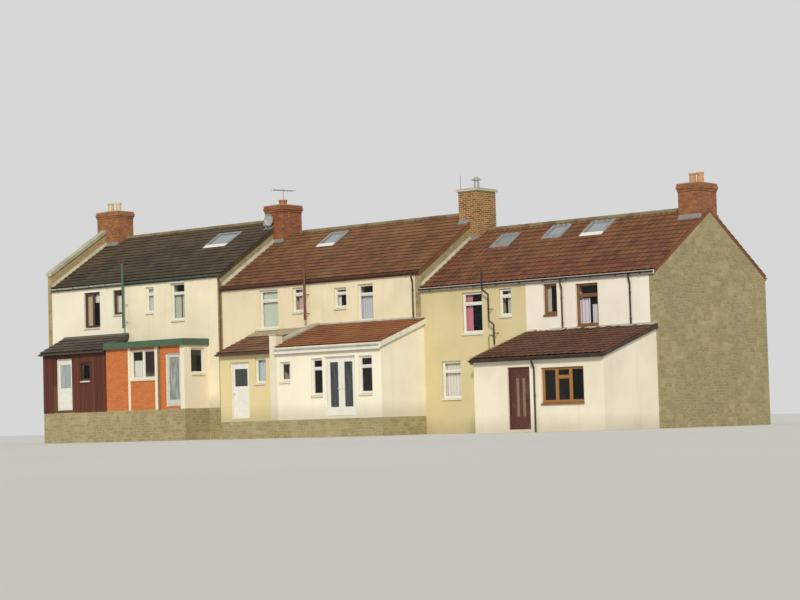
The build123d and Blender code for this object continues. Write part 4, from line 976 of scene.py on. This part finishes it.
class HOUSES_OT_doors(bpy.types.Operator):
    """Finish the doors, their frames and hinges"""
    bl_idname = "houses.doors"
    bl_label = "Doors"

    def execute(self, context):
        # Each door's paint, its panel's colour, which is painted shade of the room behind the glass, and the share of
        # net over that panel.
        facts = {
            "door_c1": ("#E6E6DC", "#8D9A9C", 0.5), "door_c2": ("#C9CCC6", "#6C756F", 0.7),
            "door_b1": ("#E9E8DF", "#2B3033", 0.1), "door_b2_left": ("#E6E5DB", "#1F2427", 0.12),
            "door_b2_right": ("#E6E5DB", "#1F2427", 0.12), "door_a2": ("#52291C", "#52291C", 0.0),
        }
        for node, looks in facts.items():
            low, high = self.leaf_of(node)
            coat(node, glazed_door("painted_" + node, (low.y + high.y) / 2, *looks))
        self.lights_of_a2()
        stops = [(0, "#E4E3D9"), (middle_of("a"), "#4E2A1C")]
        coat("door_frames", row_finish("painted_door_frames", stops, stops, "#8B8778", 0.45, 0.2, 0.25))
        coat("door_hinges", plain_finish("oiled_steel", "#4A4A48", "#2E2D2B", 0.45, 0.03, Metallic=0.7))
        coat("fixed_doors", plain_finish("painted_panelled_pine", "#CFCDBF", "#8D8A7A", 0.5, 0.2))
        coat("door_hood", plain_finish("painted_hood_boards", "#5B4A3C", "#3A2F27", 0.75, 0.2))
        return {"FINISHED"}

    @staticmethod
    def leaf_of(node):
        """Bounds of the leaf itself, without its handle and its side of the hinges."""
        return max(islands(node), key=lambda box: (box[1] - box[0]).length)

    def lights_of_a2(self):
        """Two tall narrow lights in the brown door, of obscured glass."""
        low, high = self.leaf_of("door_a2")

        def build(bm):
            for share in (0.3, 0.62):
                x = low.x + share * (high.x - low.x)
                box_into(bm, (x, x + 0.11), (low.y + 0.003, low.y + 0.0078), (low.z + 0.42, high.z - 0.3))
        glass = plain_finish("obscured_door_glass", "#86705A", "#5C4A3C", 0.25, 0.11, 0.6)
        link_piece("door_a2_lights", mesh_from("door_a2_lights", build), glass, slot="glass", body="door_a2")


class HOUSES_OT_rainwater(bpy.types.Operator):
    """Finish the gutters, downpipes and eave boards"""
    bl_idname = "houses.rainwater"
    bl_label = "Rainwater goods"

    def execute(self, context):
        b, a = pair_left("b"), pair_left("a")
        coat("gutters", row_finish(
            "plastic_gutters", [(0, "#B5B6AC"), (middle_of("c"), "#4E5F4E"), (b, "#4E2F26"), (a, "#211F1C")],
            [(0, "#4A4A42"), (b, "#5A3A2A"), (0.2, "#E4E1D6"), (7, "#1F1D1A")], "#6F6A5C", 0.45, 0.2, 0.3))
        # Each colour starts at a place between two pipes
        pipes = [(0, "#4F6150"), (-8.0, "#6E7450"), (-6.0, "#6B3A28"), (-2.0, "#6A4028"), (3.0, "#4A3526"),
                 (6.5, "#33241B"), (10.0, "#4A382A"), (12.0, "#2B3528"), (13.4, "#262422")]
        coat("downpipes", row_finish("painted_pipes", pipes, pipes, "#7A7464", 0.5, 0.2, 0.3))
        coat("eave_boards", row_finish(
            "painted_eave_boards", [(0, "#5E5A50"), (middle_of("c"), "#33473A"), (b, "#5A2E22"), (a, "#D9D6CA")],
            [(0, "#3F2A22"), (-10.04, "#41604A"), (b, "#5A3A2A"), (0.2, "#E9E6DA"), (7, "#3A2A22")],
            "#7B776A", 0.6, 0.2, 0.3))
        self.brackets()
        metal = plain_finish("painted_service_pipe", "#5A4634", "#3E3226", 0.5, 0.08)
        x, y = 8.3, MAIN_FACE - 0.02
        bends = ((0.0, 2.6), (0.0, 3.32), (0.04, 3.4), (0.14, 3.4), (0.18, 3.34))
        tubes("wall_pipe_a1", [[(x + right, y, z) for right, z in bends]], 0.014, metal)
        return {"FINISHED"}

    def brackets(self):
        """Brackets under the main gutters, a metre apart."""
        outline = [(0.0, 0.012), (0.0, -0.07), (-0.055, -0.088), (-0.118, -0.05), (-0.118, 0.008),
                   (-0.110, 0.008), (-0.110, -0.045), (-0.055, -0.078), (-0.008, -0.062), (-0.008, 0.012)]
        count, from_end, half_wide = 10, 0.5, 0.012
        points = []
        for low, high in [box for box in islands("gutters") if box[1].x - box[0].x > 0.9 * PAIR_LENGTH]:
            y, turn = (high.y, UNTURNED) if low.y < 0 else (low.y, (0.0, 0.0, math.pi))
            for n in range(count):
                x = low.x + from_end + n * (high.x - low.x - 2 * from_end) / (count - 1)
                points.append(((x, y, high.z - 0.002), turn, FULL_SIZE))
        metal = plain_finish("bracket_plastic", "#3A3833", "#5C594F", 0.5, 0.08)
        lay("gutter_brackets", mesh_from("bracket", lambda bm: prism(bm, outline, -half_wide, half_wide)), points,
            metal, 3, 0.0, slot="black_plastic")


class HOUSES_OT_extensions(bpy.types.Operator):
    """Finish the front extensions: walls, tiles, flashings and boards"""
    bl_idname = "houses.extensions"
    bl_label = "Front extensions"

    def execute(self, context):
        sizes = context.scene.house_tiles
        for node, paint, ground, dirt in (
                ("walls_a2", "#EFE8D4", GROUND["a"], 1.0), ("walls_b2", "#F6F0DC", GROUND["b"], 0.6),
                ("walls_b1", "#E3D2A0", GROUND["b"], 0.7), ("parapet", "#E6DFC8", GROUND["b"], 0.8)):
            coat("extension_" + node, painted_render(
                "painted_render_" + node.replace("walls", "extension"), paint, ground, dirt))
        coat("extension_walls_c2", porch_brick())
        coat("extension_walls_c1", boarded_wall())
        finishes = {
            "a2": roof_tiles("extension_pantiles", "#683F2A", "#4E2E20", "#7A6044", 0.25, 2.0, 3.6),
            "b1": roof_tiles("extension_tiles_left", "#7A4B2F", "#5E3A26", "#9A8660", 0.4, 3.0, 4.2),
            "b2": roof_tiles("extension_tiles_right", "#955A32", "#7C4B2A", "#A2703C", 0.4, 3.0, 4.2),
            "c1": roof_tiles("extension_dark_tiles", "#453A33", "#352D28", "#6B6350", 0.4, 3.5, 4.4),
        }
        for order, (house, finish) in enumerate(finishes.items()):
            low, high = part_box("extension_roof_" + house)
            slope = (low.x, high.x), (low.y, low.z + LEAN_TO_THICK), (high.y - 0.02, high.z - 0.004)
            lay_tiles("extension_tiles_" + house, [slope], house == "a2", finish, sizes, sizes.seed + order + 1,
                      "tiles_a" if house == "a2" else "tiles_b")
            coat("extension_roof_" + house, finish)
        coat("extension_roof_c2", plain_finish("torched_roofing_felt", "#5A5B55", "#3D3E3A", 0.9, 0.16, 0.6, 0.004))
        self.flashings()
        self.boards()
        return {"FINISHED"}

    def flashings(self):
        """Cement and lead where each lean-to roof meets the main wall, ragged on the lowest house."""
        thick, margin, count, shortest = 0.015, 0.02, 25, 0.45

        def strip(bm, house, x0, x1, down, up):
            low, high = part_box("extension_roof_" + house)
            slope = (high.z - LEAN_TO_THICK - low.z) / (high.y - low.y)
            over = 0.066 if house == "a2" else 0.05
            y0, y1, foot = high.y - down, high.y - 0.002, high.z - slope * down + over
            prism(bm, [(y0, foot), (y1, high.z + over - thick), (y1, high.z + up), (y1 - 0.012, high.z + up),
                       (y1 - 0.022, high.z + over + 0.012), (y0, foot + thick)], x0, x1)

        def build(bm):
            for house, down, up in (("c1", 0.12, 0.09), ("b1", 0.5, 0.11), ("b2", 0.08, 0.09)):
                low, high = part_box("extension_roof_" + house)
                strip(bm, house, low.x + margin, high.x - margin, down, up)
            low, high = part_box("extension_roof_a2")
            wide = (high.x - low.x - 2 * margin) / count
            for n in range(count):
                x = low.x + margin + n * wide
                reach = abs(math.sin(7.3 * n + 1.1 * n * n))
                if reach > shortest:
                    strip(bm, "a2", x, x + wide, 0.36 * reach - 0.11, 0.085)
        stops = [(0, "#5E594E"), (pair_left("b"), "#A89A78"), (0.2, "#B9B0A0"), (pair_left("a"), "#B8B5A6")]
        finish = row_finish("cement_and_lead_flashing", stops, stops, "#77756A", 0.75, 0.3, 0.6)
        link_piece("extension_flashings", mesh_from("extension_flashings", build), finish, slot="grey_metal")

    def boards(self):
        """Upright boards on the upper left extension, either side of its window and over its door."""
        low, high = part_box("extension_walls_c1")
        doors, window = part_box("door_c1"), extension_window(0)
        wide, gap, thick, foot = 0.145, 0.006, 0.018, GROUND["c"]
        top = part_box("extension_roof_c1")[0].z - 0.01
        holes = [(doors[0].x - 0.12, doors[1].x + 0.12, 0.0, doors[1].z + 0.12),
                 (window[0].x - 0.07, window[1].x + 0.07, window[0].z - 0.15, window[1].z + 0.07)]
        points = []
        count = int((high.x - low.x) / (wide + gap))
        for n in range(count):
            x = low.x + (n + 0.5) * (high.x - low.x) / count
            spans = [(foot, top)]
            for x0, x1, z0, z1 in holes:
                if x0 - wide / 2 < x < x1 + wide / 2:
                    spans = [(foot, z0), (z1, top)] if z0 > foot else [(z1, top)]
            for z0, z1 in spans:
                if z1 - z0 > SLIVER:
                    points.append(((x, low.y - 0.0005, z0), UNTURNED, (1.0, 1.0, z1 - z0)))
        pattern = mesh_from("board", lambda bm: box_into(bm, (-wide / 2, wide / 2), (-thick, 0.0), (0.0, 1.0)))
        lay("extension_boards", pattern, points, stained_boards(), 5, 0.002, slot="red_boards")


class HOUSES_OT_stage(bpy.types.Operator):
    """Lay the floor and set the camera and the lights"""
    bl_idname = "houses.stage"
    bl_label = "Stage"

    def execute(self, context):
        radius, sides, below = 700, 48, 0.002

        def build(bm):
            turns = [2 * math.pi * n / sides for n in range(sides)]
            bm.faces.new([bm.verts.new((radius * math.cos(turn), radius * math.sin(turn), -below)) for turn in turns])
        mesh = mesh_from("stage_floor", build)
        floor = linked("stage_floor", mesh)
        mesh.materials.append(plain_finish("pale_studio_floor", "#D3D2CC", "#CBCAC4", 0.95, 20.0, 0.5, 0.0))
        self.camera(context)
        self.lights(context)
        context.scene.view_settings.view_transform = "Standard"
        return {"FINISHED"}

    def camera(self, context):
        """A camera on the photograph's line of sight, at the eye's height over the lowest ground."""
        sensor, focal_pixels, picture_width = 36.0, 2130, 800
        camera = bpy.data.cameras.new("camera")
        camera.sensor_width = sensor
        camera.lens = sensor * focal_pixels / picture_width
        camera.clip_end = 2000.0
        eye = linked("camera", camera)
        yaw, pitch, roll = -0.6975, 0.058, -0.0286
        ahead = Vector((math.sin(yaw) * math.cos(pitch), math.cos(yaw) * math.cos(pitch), math.sin(pitch)))
        eye.location = (53.70, -60.91, 0.4)
        eye.rotation_mode = "QUATERNION"
        eye.rotation_quaternion = ahead.to_track_quat("-Z", "Y") @ Quaternion((0.0, 0.0, 1.0), roll)
        context.scene.camera = eye

    def lights(self, context):
        """An even pale sky and one soft lamp from the right."""
        world = bpy.data.worlds.new("studio")
        context.scene.world = world
        world.use_nodes = True
        tree = world.node_tree
        tree.nodes.clear()
        rays = add(tree, "ShaderNodeLightPath", out=None)
        mirrored = add(tree, "ShaderNodeMath", (rays["Is Glossy Ray"], rays["Is Transmission Ray"]),
                       operation="MAXIMUM")
        seen = add(tree, "ShaderNodeMath", (rays["Is Camera Ray"], mirrored), operation="MAXIMUM")
        sky = add(tree, "ShaderNodeBackground", {"Color": "#DADFE3", "Strength": 0.66})
        shown = add(tree, "ShaderNodeBackground", {"Color": "#D6D7D6", "Strength": 1.0})
        add(tree, "ShaderNodeOutputWorld", {0: add(tree, "ShaderNodeMixShader", (seen, sky, shown))}, out=None)
        lamp = bpy.data.lights.new("soft_lamp", "SUN")
        lamp.energy = 2.45
        lamp.angle = math.radians(9)
        lamp.color = linear("#FFF6E8")[:3]
        held = linked("soft_lamp", lamp)
        azimuth, elevation = math.radians(38), math.radians(30)
        towards = Vector((math.sin(azimuth) * math.cos(elevation), -math.cos(azimuth) * math.cos(elevation),
                          math.sin(elevation)))
        held.rotation_mode = "QUATERNION"
        held.rotation_quaternion = towards.to_track_quat("Z", "Y")


class HOUSES_PT_panel(bpy.types.Panel):
    """The row's sizes, colours and pieces"""
    bl_label = "House row"
    bl_idname = "HOUSES_PT_panel"
    bl_space_type = "VIEW_3D"
    bl_region_type = "UI"
    bl_category = "House row"

    def draw(self, context):
        for group in (context.scene.house_tiles, context.scene.house_paint):
            for key in group.__annotations__:
                self.layout.prop(group, key)
        for operator in OPERATORS:
            self.layout.operator(operator.bl_idname)


OPERATORS = (
    HOUSES_OT_walls, HOUSES_OT_roofs, HOUSES_OT_chimneys, HOUSES_OT_windows,
    HOUSES_OT_doors, HOUSES_OT_rainwater, HOUSES_OT_extensions, HOUSES_OT_stage,
)
CLASSES = (TileSettings, PaintSettings, *OPERATORS, HOUSES_PT_panel)


def register():
    """Make the classes known and hang the settings on the scene."""
    for known in CLASSES:
        bpy.utils.register_class(known)
    bpy.types.Scene.house_tiles = bpy.props.PointerProperty(type=TileSettings)
    bpy.types.Scene.house_paint = bpy.props.PointerProperty(type=PaintSettings)


def unregister():
    """Take the settings off the scene and forget the classes."""
    del bpy.types.Scene.house_paint
    del bpy.types.Scene.house_tiles
    for known in reversed(CLASSES):
        bpy.utils.unregister_class(known)


def main():
    """Dress the whole row."""
    register()
    bpy.ops.houses.walls()
    bpy.ops.houses.roofs()
    bpy.ops.houses.chimneys()
    bpy.ops.houses.windows()
    bpy.ops.houses.doors()
    bpy.ops.houses.rainwater()
    bpy.ops.houses.extensions()
    bpy.ops.houses.stage()


if __name__ == "__main__":
    main()
